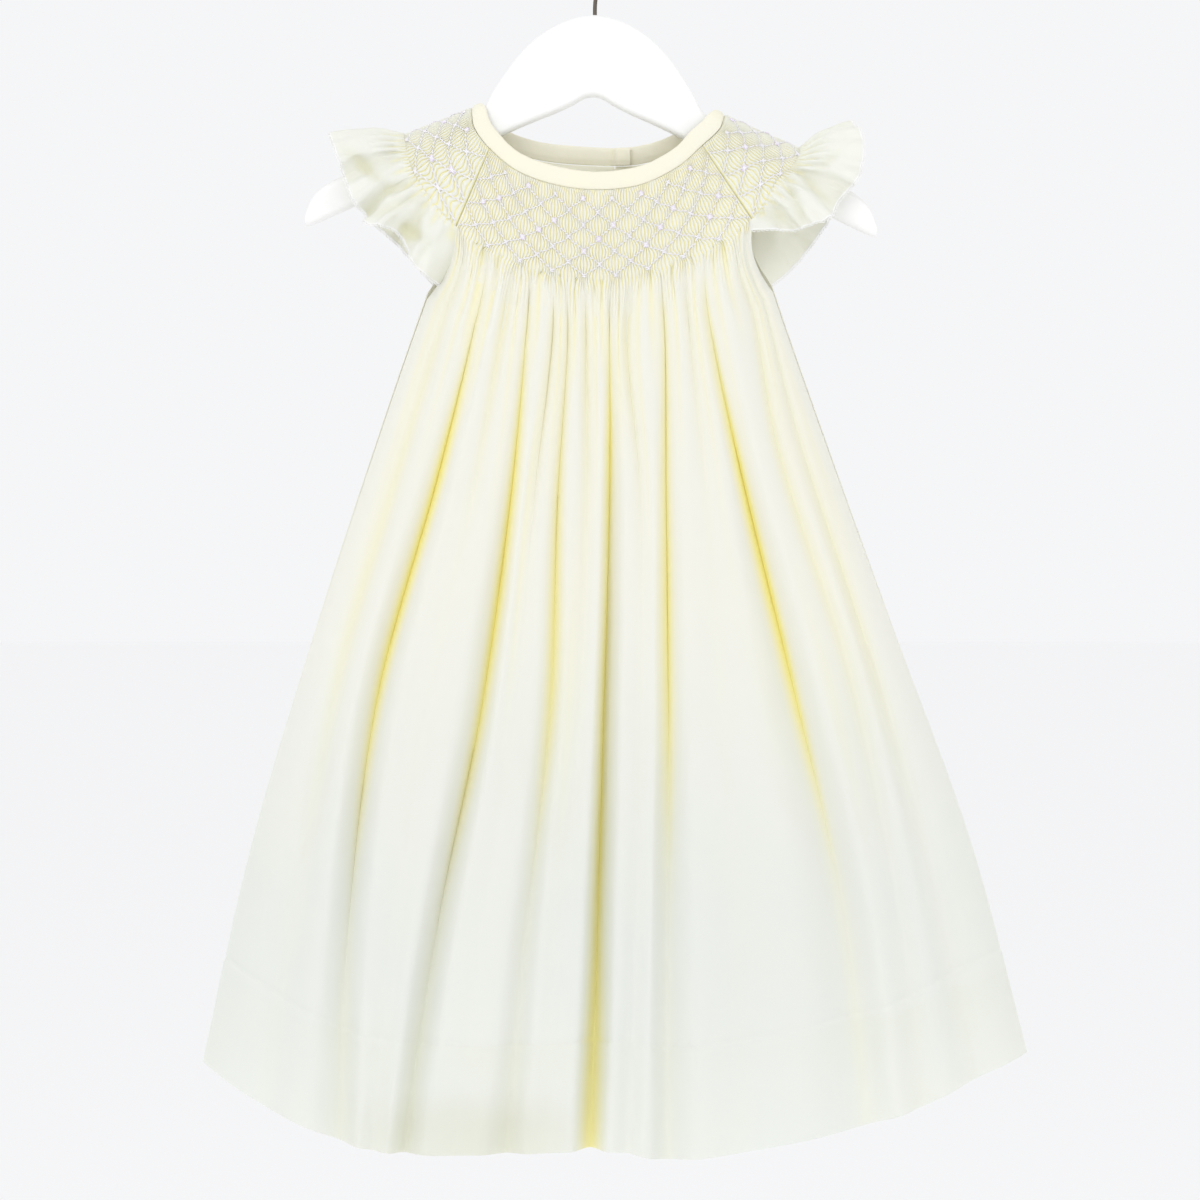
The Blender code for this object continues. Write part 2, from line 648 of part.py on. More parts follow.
def buttons(material):
    length = (base_point(0) - neck_point(0)).length
    drops = [height * length for height in BUTTON_HEIGHTS] + [length + LOW_BUTTON_DROP]
    step = 0.004
    for number, drop in enumerate(drops, 1):
        point = back_surface(drop)
        down = back_surface(drop + step) - back_surface(drop - step)
        outward = Vector((0.0, -down.z, down.y)).normalized()
        mesh = bmesh.new()
        bmesh.ops.create_cone(mesh, cap_ends=True, segments=BUTTON_SEGMENTS, radius1=BUTTON_RADIUS,
                              radius2=BUTTON_RADIUS, depth=BUTTON_THICKNESS)
        rims = [edge for edge in mesh.edges if abs(edge.verts[0].co.z - edge.verts[1].co.z) < BUTTON_BEVEL]
        bmesh.ops.bevel(mesh, geom=rims, offset=BUTTON_BEVEL, segments=1, affect="EDGES")
        lift = PLEAT_RIDGE + BUTTON_CLEARANCE + BUTTON_THICKNESS / 2
        turn = Vector((0, 0, 1)).rotation_difference(outward).to_matrix().to_4x4()
        mesh.transform(Matrix.Translation(point + outward * lift) @ turn)
        add_object(f"button_{number}", mesh, material, 30)


def back_placket(material):
    """The strip under the slit at the back, just inside the two halves."""
    length = (base_point(0) - neck_point(0)).length
    rows = []
    for share in shares(PLACKET_ROWS):
        middle = back_surface(mix(SEAM_GAP * 4, length + PLACKET_END * length, share))
        lift = Vector((0, -(HALF_WALL + SEAM_GAP * 2 + PLACKET_THICKNESS / 2), 0))
        rows.append([middle + lift + Vector((side * PLACKET_HALF_WIDTH, 0, 0)) for side in (1, 0, -1)])
    half = PLACKET_THICKNESS / 2
    outer = moved_out(rows, lambda r, c: half)
    inner = moved_out(rows, lambda r, c: -half)
    cloth_wall("back_placket", outer, inner, material)


# The hanger

def hanger_section(out, top, bottom):
    """A rounded loop across the board, out from its middle."""
    radius = min(HANGER_BEVEL, (top - bottom) / 2)
    half = HANGER_THICKNESS / 2 - radius
    corners = ((half, top - radius, 0), (-half, top - radius, 90),
               (-half, bottom + radius, 180), (half, bottom + radius, 270))
    points = []
    for y, z, turn in corners:
        for step in range(HANGER_CORNER_STEPS + 1):
            angle = radians(turn + 90 * step / HANGER_CORNER_STEPS)
            points.append(Vector((out, y + radius * cos(angle), z + radius * sin(angle))))
    return points


def hanger_body(material):
    half = [[value * MM for value in row] for row in HANGER_HALF]
    sections = [hanger_section(-out, top, bottom) for out, top, bottom in reversed(half[1:])]
    sections += [hanger_section(out, top, bottom) for out, top, bottom in half]
    mesh = bmesh.new()
    loops = [[mesh.verts.new(point) for point in section] for section in sections]
    for one, two in zip(loops, loops[1:]):
        for side in range(len(one)):
            after = (side + 1) % len(one)
            mesh.faces.new((one[side], one[after], two[after], two[side]))
    mesh.faces.new(loops[0])
    mesh.faces.new(loops[-1])
    pivot = Vector((0, 0, HANGER_TOP_Z))
    turn = Matrix.Translation(pivot) @ Matrix.Rotation(HANGER_TILT, 4, "Y") @ Matrix.Translation(-pivot)
    mesh.transform(turn)
    body = add_object("hanger_body", mesh, material)
    drill = bmesh.new()
    bmesh.ops.create_cone(drill, cap_ends=True, segments=16, radius1=WIRE_RADIUS + BORE_CLEARANCE,
                          radius2=WIRE_RADIUS + BORE_CLEARANCE, depth=2 * BORE_DEPTH)
    drill.transform(Matrix.Translation(pivot))
    cutter = add_object("hanger_bore_cutter", drill, material)
    cutter.hide_render = True
    cutter.display_type = "WIRE"
    cut = body.modifiers.new("bore", "BOOLEAN")
    cut.operation = "DIFFERENCE"
    cut.solver = "EXACT"
    cut.object = cutter


def hanger_hook(material):
    centre_z = WIRE_RADIUS - HOOK_RADIUS
    points = [Vector((x, 0, z)) * MM for x, z in HOOK_STEM]
    for share in shares(HOOK_STEPS):
        angle = mix(HOOK_START, HOOK_END, share)
        points.append(Vector((HOOK_RADIUS * cos(angle), 0, centre_z + HOOK_RADIUS * sin(angle))))
    path = bpy.data.curves.new("hanger_hook", "CURVE")
    path.dimensions = "3D"
    path.bevel_depth = WIRE_RADIUS
    path.bevel_resolution = WIRE_SIDES_LEVEL
    path.use_fill_caps = True
    line = path.splines.new("POLY")
    line.points.add(len(points) - 1)
    for spot, point in zip(line.points, points):
        spot.co = (*point, 1.0)
    path.materials.append(material)
    hook = bpy.data.objects.new("hanger_hook", path)
    bpy.context.scene.collection.objects.link(hook)


def main():
    for item in list(bpy.data.objects):
        bpy.data.objects.remove(item, do_unlink=True)
    cloth = make_material("yellow_cloth", PALE_YELLOW, 0.9)
    binding = make_material("cream_binding", CREAM, 0.85)
    front(cloth)
    backs(cloth)
    sleeves(cloth)
    neck_binding(binding)
    back_placket(cloth)
    buttons(make_material("pearl_button", PEARL, 0.35))
    hanger_body(make_material("white_wood", WHITE_PAINT, 0.45))
    hanger_hook(make_material("dark_steel", DARK_STEEL, 0.35, 1.0))


main()
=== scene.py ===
from math import cos, pi, radians, sin

import bpy
import numpy as np
from bpy.props import FloatProperty, FloatVectorProperty, IntProperty, PointerProperty
from mathutils import Matrix, Vector


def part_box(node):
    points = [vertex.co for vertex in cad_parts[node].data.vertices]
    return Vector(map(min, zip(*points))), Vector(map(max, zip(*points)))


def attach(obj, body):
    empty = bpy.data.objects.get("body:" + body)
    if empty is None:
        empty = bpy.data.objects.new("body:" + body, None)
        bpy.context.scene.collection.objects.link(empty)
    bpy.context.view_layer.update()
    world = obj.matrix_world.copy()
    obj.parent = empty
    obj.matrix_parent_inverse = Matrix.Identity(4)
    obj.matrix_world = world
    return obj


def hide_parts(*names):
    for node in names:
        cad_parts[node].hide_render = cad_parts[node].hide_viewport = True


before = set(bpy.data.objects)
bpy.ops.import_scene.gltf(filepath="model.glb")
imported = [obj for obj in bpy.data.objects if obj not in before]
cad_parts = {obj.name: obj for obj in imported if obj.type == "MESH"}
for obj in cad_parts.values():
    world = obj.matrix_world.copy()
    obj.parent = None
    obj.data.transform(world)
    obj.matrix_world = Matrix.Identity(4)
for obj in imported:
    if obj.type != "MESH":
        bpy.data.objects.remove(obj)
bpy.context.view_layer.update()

bl_info = {
    "name": "Smocked Dress on a Hanger",
    "version": (1, 0, 0),
    "blender": (4, 5, 0),
    "location": "View3D > Sidebar > Dress",
    "description": "Makes a child's smocked bishop dress, its embroidery and its wooden hanger",
    "category": "Object",
}

MM = 0.001

# Sizes that the solids have too
HEM_LINE = 0.875
RAGLAN_INSET = 0.010
SIDE_SEAM_Y = 0.0013
ARMHOLE_SHARE = 0.084
ARMHOLE_HOLLOW = 0.0042
ROLL_SHARE = 0.09
HEIGHTS = (0.0, 0.084, 0.25, 0.5, 0.75, 1.0)
DEPTH_HEIGHTS = (0.0, 0.06, 0.4, 1.0)
FRONT_FULLNESS = (0.019, 0.0225, 0.031, 0.040)
BACK_FULLNESS = (0.016, 0.0180, 0.022, 0.026)
ENVELOPE_POWER = 4.0
ENVELOPE_EASE = 0.8
RIDGE_POWERS = (0.55, 0.62, 1.1, 2.0)
SLEEVE_LAP = 0.0010
SLEEVE_LAP_RISE = 0.0009
FLUTTER_PUFF = 0.003

# The ring of the yoke in mm: the neck seam and the lower edge of the smocking, a row for each station,
# from the middle of the back round the left of the picture to the front and back again.
RING = (
    # neck_x neck_y  neck_z  base_x  base_y  base_z
    (10.0,   12.5, -129.5,    9.0,   16.0, -184.0),
    (-19.5,  12.0, -128.0,  -21.5,   16.0, -181.0),
    (-38.5,  11.0, -124.0,  -46.5,   15.0, -172.5),
    (-53.5,   9.5, -117.0,  -70.0,   13.5, -158.0),
    (-60.0,   8.4, -110.5,  -89.0,   11.0, -135.5),
    (-61.5,   6.2, -105.2,  -93.5,    7.5, -123.0),
    (-61.5,   0.0, -102.0,  -95.0,    0.0, -115.5),
    (-61.5,  -6.2, -105.2,  -93.5,   -8.0, -123.5),
    (-60.0,  -8.7, -113.0,  -88.0,  -12.0, -139.0),
    (-52.5, -10.0, -123.0,  -69.0,  -15.0, -162.0),
    (-38.5, -12.0, -134.5,  -45.5,  -18.0, -177.0),
    (-19.5, -13.5, -141.5,  -21.5,  -19.0, -185.5),
    (1.0,   -14.0, -144.0,    2.5,  -19.0, -188.5),
    (22.5,  -13.5, -141.5,   26.5,  -19.0, -184.5),
    (41.0,  -12.0, -132.5,   53.0,  -18.0, -174.5),
    (53.5,  -10.0, -121.5,   78.0,  -15.0, -158.5),
    (61.5,   -8.7, -114.0,   90.5,  -12.0, -139.0),
    (64.0,   -6.2, -108.6,  100.0,   -8.0, -130.0),
    (64.5,    0.0, -105.4,  102.5,    0.0, -122.5),
    (64.0,    6.2, -108.6,  100.0,    7.5, -129.5),
    (61.5,    8.4, -112.5,   91.5,   11.0, -136.0),
    (54.0,    9.5, -116.0,   79.0,   13.5, -155.0),
    (41.0,   11.0, -123.0,   54.0,   15.0, -170.0),
    (26.0,   12.0, -128.0,   30.0,   16.0, -180.0),
)
NECK = np.array(RING)[:, :3] * MM
BASE = np.array(RING)[:, 3:] * MM
RING_COUNT = len(RING)
RAGLAN_BACK_LEFT, SHOULDER_LEFT, RAGLAN_FRONT_LEFT = 3, 6, 9
RAGLAN_FRONT_RIGHT, SHOULDER_RIGHT, RAGLAN_BACK_RIGHT = 15, 18, 21

# Fold lines of the front skirt: the station they hang from, their x at each of HEIGHTS below the yoke,
# the z of the hem, how deep the valley is at the gathers, the middle and the hem, how far the hem rolls
# back, and how far the cloth beside the valley leans over it: right side for plus, left side for minus.
FRONT_FOLDS = (
    # station  x_arm   x_high  x_mid   x_low   x_hem   hem_z  gather middle hem   roll  lean
    ( 9.00,    -83.5, -107.5, -141.5, -172.5, -195.5, -578.0,  0.0,   0.0,   0.0,  0.0,  0.0),
    ( 9.22,    -73.7,  -95.2, -126.5, -146.0, -163.6, -598.0,  3.0,   4.0,   5.0,  0.0,  0.0),
    ( 9.71,    -59.9,  -78.0, -108.3, -122.0, -126.3, -614.0,  4.5,  15.0,   9.0,  2.0, -2.5),
    (10.22,    -46.5,  -59.2,  -82.2,  -98.2, -109.5, -618.5,  4.0,   1.0,   3.0,  4.0,  0.0),
    (10.57,    -34.9,  -42.0,  -57.1,  -78.5,  -94.7, -620.5,  5.0,  15.0,  11.0,  6.0, -2.5),
    (11.05,    -21.3,  -29.6,  -39.9,  -55.5,  -68.7, -621.0,  4.0,   1.0,   1.0,  8.0,  0.0),
    (11.32,    -13.8,  -18.7,  -22.6,  -34.3,  -44.1, -620.5,  4.0,   8.0,   8.0,  9.0, -1.0),
    (11.71,     -4.4,   -4.4,   -8.3,  -16.1,  -23.0, -619.5,  4.0,   2.0,   1.0,  6.0,  0.0),
    (12.21,      8.4,    8.9,    5.9,    2.0,   -2.4, -618.0,  5.0,  20.0,  18.0,  0.0,  4.0),
    (12.64,     15.9,   22.2,   22.2,   20.2,   16.2, -619.0,  4.0,   1.0,   4.0,  0.0,  0.0),
    (13.23,     34.9,   35.6,   36.5,   36.0,   35.9, -622.5,  5.0,   9.0,   9.0,  0.0,  1.0),
    (13.66,     47.0,   54.3,   62.6,   70.4,   73.7, -618.5,  3.0,   1.0,   4.0,  0.0,  0.0),
    (14.04,     57.4,   72.6,   98.6,  122.0,  134.0, -606.0,  5.0,  15.0,   9.0,  0.0,  2.5),
    (14.57,     78.2,   91.0,  124.7,  147.5,  162.0, -597.0,  3.0,   4.0,   4.0,  0.0,  0.0),
    (14.81,     83.7,  101.2,  135.5,  164.5,  188.0, -585.0,  2.0,   4.0,   5.0,  0.0,  0.0),
    (15.00,     88.5,  112.5,  150.0,  188.0,  215.5, -573.5,  0.0,   0.0,   0.0,  0.0,  0.0),
)
BACK_FOLDS = (
    (21.00,     88.5,  112.5,  150.0,  188.0,  215.5, -573.5,  0.0,   0.0,   0.0,  0.0,  0.0),
    (21.35,     74.0,   96.0,  129.0,  160.0,  184.0, -588.0,  2.5,   4.0,   4.0,  0.0,  0.0),
    (21.85,     60.5,   76.0,  103.0,  126.0,  143.0, -601.0,  3.0,   8.0,   6.0,  0.0,  1.5),
    (22.40,     46.0,   57.0,   74.0,   90.0,  101.0, -611.0,  3.0,   4.0,   5.0,  0.0,  0.0),
    (22.95,     32.5,   38.0,   46.0,   53.0,   58.0, -616.0,  3.0,   9.0,   7.0,  0.0,  1.5),
    (23.50,     20.5,   23.0,   25.0,   27.0,   28.0, -618.0,  2.0,   3.0,   3.0,  0.0,  0.0),
    (24.00,      8.8,    8.5,    8.0,    7.0,    6.0, -618.5,  0.0,   0.0,   0.0,  0.0,  0.0),
    (24.40,     -4.5,   -6.0,   -9.0,  -12.0,  -15.0, -618.5,  2.0,   3.0,   4.0,  0.0,  0.0),
    (24.90,    -18.5,  -23.0,  -31.0,  -40.0,  -47.0, -618.0,  3.0,   8.0,   7.0,  0.0, -1.5),
    (25.45,    -35.0,  -43.0,  -57.0,  -71.0,  -82.0, -616.0,  3.0,   4.0,   4.0,  0.0,  0.0),
    (25.95,    -50.0,  -63.0,  -85.0, -104.0, -118.0, -610.0,  3.0,   9.0,   6.0,  0.0, -1.5),
    (26.50,    -66.5,  -86.0, -114.0, -139.0, -158.0, -598.0,  2.5,   4.0,   4.0,  0.0,  0.0),
    (27.00,    -83.5, -107.5, -141.5, -172.5, -195.5, -578.0,  0.0,   0.0,   0.0,  0.0,  0.0),
)
BACK_MIDDLE_FOLD = 6
X_COLUMNS, HEM_Z, DEPTHS, ROLL, LEAN = slice(1, 6), 6, slice(7, 10), 10, 11

# Smaller creases of the skirt: where they start across the folds and down the skirt, where they end,
# how wide they are in folds and how deep in mm. A plus is a trough, a minus a ridge.
FRONT_CREASES = (
    # at     start  end   drift  width  depth
    (0.55,   0.00,  0.42,  0.10,  0.16,   0.9),
    (1.45,   0.00,  0.30,  0.05,  0.10,   1.3),
    (1.75,   0.00,  0.13,  0.00,  0.11,   1.7),
    (2.40,   0.00,  0.20,  0.00,  0.11,   1.5),
    (2.62,   0.03,  0.80, -0.20,  0.14,  -0.8),
    (3.50,   0.00,  0.34,  0.04,  0.12,   1.2),
    (4.40,   0.00,  0.12,  0.00,  0.12,   1.7),
    (4.70,   0.04,  0.60,  0.06,  0.16,   0.7),
    (5.50,   0.00,  0.26,  0.00,  0.12,   1.1),
    (6.45,   0.00,  0.13,  0.00,  0.13,   1.6),
    (6.60,   0.20,  0.95,  0.10,  0.22,   0.8),
    (7.35,   0.00,  0.30,  0.05,  0.10,   1.2),
    (7.62,   0.00,  0.12,  0.00,  0.12,   1.7),
    (8.50,   0.00,  0.24,  0.00,  0.12,   1.1),
    (9.30,   0.00,  0.36,  0.05,  0.10,   1.1),
    (9.66,   0.00,  0.14,  0.00,  0.12,   1.5),
    (10.45,  0.00,  0.28,  0.00,  0.11,   1.2),
    (11.40,  0.00,  0.45, -0.05,  0.12,   1.0),
    (11.60,  0.30,  0.80,  0.10,  0.20,   0.6),
    (12.30,  0.00,  0.26,  0.00,  0.08,   1.2),
    (12.62,  0.00,  0.14,  0.00,  0.12,   1.5),
    (12.55,  0.30,  0.90,  0.05,  0.16,   1.0),
    (13.50,  0.00,  0.34,  0.00,  0.14,   0.8),
    (14.50,  0.04,  0.50,  0.00,  0.18,   0.7),
)
BACK_CREASES = (
    (0.60,   0.00,  0.40,  0.05,  0.14,   0.9),
    (1.50,   0.00,  0.28,  0.00,  0.10,   1.2),
    (2.35,   0.00,  0.20,  0.05,  0.09,   1.0),
    (2.70,   0.05,  0.60,  0.05,  0.12,   0.9),
    (3.45,   0.00,  0.34,  0.00,  0.12,   1.2),
    (4.40,   0.00,  0.26,  0.05,  0.10,   1.1),
    (5.45,   0.00,  0.18,  0.00,  0.10,   0.8),
    (6.55,   0.00,  0.22,  0.00,  0.12,   0.9),
    (7.40,   0.00,  0.38, -0.05,  0.10,   1.2),
    (7.75,   0.10,  0.80,  0.05,  0.14,   0.8),
    (8.50,   0.00,  0.24,  0.00,  0.12,   1.1),
    (9.40,   0.00,  0.30,  0.00,  0.10,   1.2),
    (10.50,  0.00,  0.42,  0.05,  0.12,   1.0),
    (11.45,  0.00,  0.26,  0.00,  0.14,   0.8),
)

# Free edges of the flutter sleeves: the station each spoke leaves and where it ends, in mm.
LEFT_SPOKES = (
    # station edge_x  edge_y  edge_z
    (3.00,    -77.5,    5.0, -190.0),
    (3.20,    -85.0,   15.0, -184.0),
    (3.40,    -91.0,   12.0, -177.0),
    (3.65,    -98.0,   20.0, -169.0),
    (3.90,   -105.0,   13.0, -163.0),
    (4.15,   -111.0,   20.0, -157.0),
    (4.40,   -116.0,   12.0, -150.0),
    (4.70,   -121.0,   19.0, -142.0),
    (5.00,   -124.0,   10.0, -134.0),
    (5.40,   -128.0,   14.0, -124.0),
    (5.80,   -131.0,    5.0, -117.0),
    (6.15,   -132.0,   -3.0, -115.0),
    (6.50,   -129.5,  -12.0, -121.5),
    (6.90,   -126.5,  -17.0, -129.5),
    (7.20,   -124.5,  -11.0, -136.5),
    (7.45,   -121.5,  -17.0, -143.5),
    (7.65,   -119.0,  -22.0, -150.5),
    (7.85,   -114.0,  -12.0, -155.0),
    (8.00,   -114.0,  -21.0, -160.0),
    (8.20,   -106.5,  -25.0, -162.0),
    (8.35,    -99.0,  -16.0, -164.0),
    (8.50,    -94.0,  -11.0, -170.0),
    (8.65,    -91.0,  -20.0, -178.5),
    (8.85,    -84.5,  -17.0, -185.5),
    (9.00,    -77.0,   -5.0, -190.0),
)
RIGHT_SPOKES = (
    (15.00,    82.0,  -14.0, -163.5),
    (15.20,    90.0,  -14.0, -163.0),
    (15.42,    99.0,  -12.0, -163.5),
    (15.62,   103.0,  -20.0, -162.5),
    (15.85,   110.0,  -25.0, -160.5),
    (16.05,   117.0,  -22.0, -157.0),
    (16.30,   120.0,  -14.0, -150.0),
    (16.55,   125.0,  -12.0, -144.0),
    (16.80,   129.5,  -19.0, -139.0),
    (17.10,   132.0,  -21.0, -131.0),
    (17.40,   133.0,  -15.0, -120.5),
    (17.75,   131.0,   -8.0, -112.5),
    (18.05,   127.5,    0.0, -109.0),
    (18.40,   129.0,    8.0, -113.5),
    (18.80,   130.0,   15.0, -121.0),
    (19.20,   127.0,   10.0, -131.0),
    (19.60,   126.0,   18.0, -140.0),
    (19.95,   121.0,   12.0, -149.0),
    (20.20,   117.0,   20.0, -156.0),
    (20.42,   112.0,   14.0, -164.0),
    (20.62,   105.0,   20.0, -173.0),
    (20.82,    97.0,   14.0, -182.0),
    (21.00,    86.5,    6.0, -190.5),
)

# Creases of the sleeves: both ends in mm across and up, how wide and how deep. A minus is a ridge.
LEFT_CREASES = (
    # x0     z0      x1      z1      width depth
    (-125.0, -123.0, -104.0, -141.0, 3.2,  2.6),
    (-129.0, -130.0, -119.0, -152.0, 3.5, -1.4),
    (-114.5, -157.5,  -84.0, -146.5, 3.0,  2.4),
    (-107.0, -134.0,  -97.0, -130.0, 1.6,  1.2),
    (-103.5, -145.0,  -87.0, -139.5, 1.8,  1.3),
    (-98.0,  -161.0,  -84.0, -169.0, 3.4,  2.4),
    (-92.0,  -152.0,  -78.0, -163.0, 3.0, -1.2),
    (-87.0,  -178.0,  -79.0, -168.0, 2.0,  0.9),
)
RIGHT_CREASES = (
    (95.0,   -137.5,  103.0, -162.0, 2.6,  2.8),
    (100.5,  -133.5,  119.5, -153.0, 2.6,  2.2),
    (110.0,  -134.0,  121.0, -125.0, 2.2,  1.6),
    (83.0,   -146.0,   94.0, -142.5, 2.0, -1.4),
    (84.0,   -154.0,   97.0, -158.0, 5.0,  1.4),
    (112.0,  -142.0,  128.0, -146.0, 2.6, -1.2),
    (90.0,   -172.0,   98.0, -182.0, 3.0,  1.2),
)

HANGER_HALF = (
    # out     top     bottom
    (0.0,    -55.3,   -96.0),
    (4.5,    -55.8,   -97.0),
    (10.0,   -57.0,  -100.2),
    (18.0,   -60.2,  -104.2),
    (27.0,   -65.8,  -108.0),
    (34.0,   -72.0,  -111.0),
    (40.0,   -79.0,  -113.8),
    (45.5,   -87.0,  -116.5),
    (50.0,   -94.2,  -118.8),
    (54.0,  -101.6,  -121.0),
    (57.5,  -104.5,  -122.8),
    (62.5,  -106.3,  -125.2),
    (70.0,  -110.2,  -128.9),
    (87.5,  -119.8,  -137.6),
    (107.5, -129.6,  -147.6),
    (124.5, -138.2,  -156.0),
    (134.0, -143.6,  -160.4),
    (139.5, -149.6,  -162.8),
    (142.6, -157.0,  -163.4),
)
HANGER_TILT = radians(1.1)
HANGER_TOP_Z = -0.0553

HOOK_STEM = (
    # x      z
    (0.0,   -64.5),
    (0.0,   -58.0),
    (0.0,   -51.0),
    (0.6,   -46.0),
    (2.8,   -41.6),
    (6.6,   -38.2),
)
HOOK_RADIUS = 0.0195
HOOK_START = radians(-58)
HOOK_END = radians(196)

# Rows of crossings of the smocked trellis, as shares of the way from the neck to the skirt.
TRELLIS_ROWS = (0.10, 0.255, 0.405, 0.555, 0.70, 0.84, 0.975)
DIAMOND_PLEATS = 12
# Each row of the trellis that has flowers, and the pleat that its first flower sits on.
FLOWER_CROSSINGS = {0: 0, 2: 12, 3: 6, 4: 0}
FLOWER_LIFT = 0.00020


# Settings

class DressSizes(bpy.types.PropertyGroup):
    front_pleats: IntProperty(
        name="Front pleats", description="Smocked pleats across the front", default=108, min=24)
    back_pleats: IntProperty(
        name="Back pleats", description="Smocked pleats across each half of the back", default=72, min=12)
    sleeve_pleats: IntProperty(
        name="Sleeve pleats", description="Smocked pleats over each shoulder", default=60, min=12)
    pleat_height: FloatProperty(
        name="Pleat height", description="How far the pleats stand out", default=0.0011, unit="LENGTH")
    cloth_thickness: FloatProperty(
        name="Cloth thickness", description="Thickness of the batiste", default=0.0006, unit="LENGTH")
    binding_width: FloatProperty(
        name="Binding width", description="Width of the neck binding", default=0.0092, unit="LENGTH")
    thread_radius: FloatProperty(
        name="Thread radius", description="Half the width of a smocking stitch", default=0.00036,
        unit="LENGTH")
    button_radius: FloatProperty(
        name="Button radius", description="Radius of the back buttons", default=0.0045, unit="LENGTH")


class DressColours(bpy.types.PropertyGroup):
    cloth: FloatVectorProperty(
        name="Cloth", description="Pale yellow on the ridges", subtype="COLOR", size=3,
        default=(0.965, 0.962, 0.915))
    cloth_low: FloatVectorProperty(
        name="Low cloth", description="Cooler tone of the lower skirt", subtype="COLOR", size=3,
        default=(0.885, 0.912, 0.895))
    shade: FloatVectorProperty(
        name="Shade", description="Grey green of cloth that turns away", subtype="COLOR", size=3,
        default=(0.815, 0.820, 0.700))
    # Painted glow and shade in the folds: the saturated yellow that light bouncing in the valleys and shining
    # through the thin cloth gives them, painted as base colour and as emission.
    fold_glow: FloatVectorProperty(
        name="Deep cloth", description="Yellow in the folds", subtype="COLOR", size=3,
        default=(0.93, 0.85, 0.30))
    hem: FloatVectorProperty(
        name="Hem", description="Tone of the doubled hem", subtype="COLOR", size=3,
        default=(0.915, 0.915, 0.800))
    binding: FloatVectorProperty(
        name="Binding", description="Cream of the neck binding", subtype="COLOR", size=3,
        default=(0.870, 0.848, 0.735))
    thread: FloatVectorProperty(
        name="Thread", description="White of the trellis stitches", subtype="COLOR", size=3,
        default=(0.93, 0.91, 0.94))
    lilac: FloatVectorProperty(
        name="Lilac", description="Lilac of the small flowers", subtype="COLOR", size=3,
        default=(0.84, 0.77, 0.90))
    picot: FloatVectorProperty(
        name="Picot", description="White of the sleeve edging", subtype="COLOR", size=3,
        default=(0.95, 0.95, 0.93))


class HangerSettings(bpy.types.PropertyGroup):
    thickness: FloatProperty(
        name="Thickness", description="Thickness of the board", default=0.010, unit="LENGTH")
    rounding: FloatProperty(
        name="Rounding", description="Radius of the board's edges", default=0.0034, unit="LENGTH")
    wire_radius: FloatProperty(
        name="Wire radius", description="Radius of the hook's wire", default=0.0010, unit="LENGTH")
    paint: FloatVectorProperty(
        name="Paint", description="White paint of the board", subtype="COLOR", size=3,
        default=(0.93, 0.93, 0.925))
    steel: FloatVectorProperty(
        name="Steel", description="Dark steel of the hook", subtype="COLOR", size=3,
        default=(0.10, 0.09, 0.08))


class StageSettings(bpy.types.PropertyGroup):
    camera_distance: FloatProperty(
        name="Camera distance", description="From the camera to the hanger", default=2.0, unit="LENGTH")
    picture_width: FloatProperty(
        name="Picture width", description="Width seen at the hanger", default=0.6, unit="LENGTH")
    centre_x: FloatProperty(
        name="Centre X", description="Picture's centre to the right of the hook", default=0.0025,
        unit="LENGTH")
    centre_z: FloatProperty(
        name="Centre Z", description="Picture's centre above the hook", default=-0.3475, unit="LENGTH")
    floor_drop: FloatProperty(
        name="Floor drop", description="Floor below the hook", default=1.0, unit="LENGTH")
    sky: FloatProperty(name="Sky", description="Strength of the even light", default=0.93)
    key: FloatProperty(name="Key", description="Power of the soft key light in watts", default=10.5)


# Curves and grids

def cubic(before, start, end, after, t):
    pull_in = (end - before) * 0.5
    pull_out = (after - start) * 0.5
    return (start * (2 * t**3 - 3 * t**2 + 1) + pull_in * (t**3 - 2 * t**2 + t)
            + end * (3 * t**2 - 2 * t**3) + pull_out * (t**3 - t**2))


def between(values, at):
    """The smooth curve through evenly spaced rows, read at fractional indices."""
    values = np.asarray(values, float)
    last = len(values) - 1
    index = np.clip(np.floor(at).astype(int), 0, last - 1)
    t = (at - index).reshape(at.shape + (1,) * (values.ndim - 1))
    return cubic(values[np.maximum(index - 1, 0)], values[index], values[index + 1],
                 values[np.minimum(index + 2, last)], t)


def at_height(heights, values, height):
    """The smooth curve through rows that stand at uneven heights, read at other heights."""
    heights = np.asarray(heights, float)
    values = np.asarray(values, float)
    last = len(heights) - 1
    spots = np.arange(last + 1)
    low = np.maximum(spots - 1, 0)
    high = np.minimum(spots + 1, last)
    run = (heights[high] - heights[low]).reshape((-1,) + (1,) * (values.ndim - 1))
    slopes = (values[high] - values[low]) / run
    index = np.clip(np.searchsorted(heights, height, side="left") - 1, 0, last - 1)
    span = heights[index + 1] - heights[index]
    shape = (-1,) + (1,) * (values.ndim - 1)
    t = ((height - heights[index]) / span).reshape(shape)
    span = span.reshape(shape)
    return (values[index] * (2 * t**3 - 3 * t**2 + 1) + slopes[index] * span * (t**3 - 2 * t**2 + t)
            + values[index + 1] * (3 * t**2 - 2 * t**3) + slopes[index + 1] * span * (t**3 - t**2))


def smooth(value):
    share = np.clip(value, 0.0, 1.0)
    return share * share * (3 - 2 * share)


def ring_point(points, station):
    wrapped = np.mod(station, RING_COUNT)
    index = np.floor(wrapped).astype(int) % RING_COUNT
    t = (wrapped - np.floor(wrapped))[..., None]
    return cubic(points[(index - 1) % RING_COUNT], points[index], points[(index + 1) % RING_COUNT],
                 points[(index + 2) % RING_COUNT], t)


def yoke(stations, downs):
    neck = ring_point(NECK, stations)
    base = ring_point(BASE, stations)
    return neck + (base - neck) * downs[..., None]


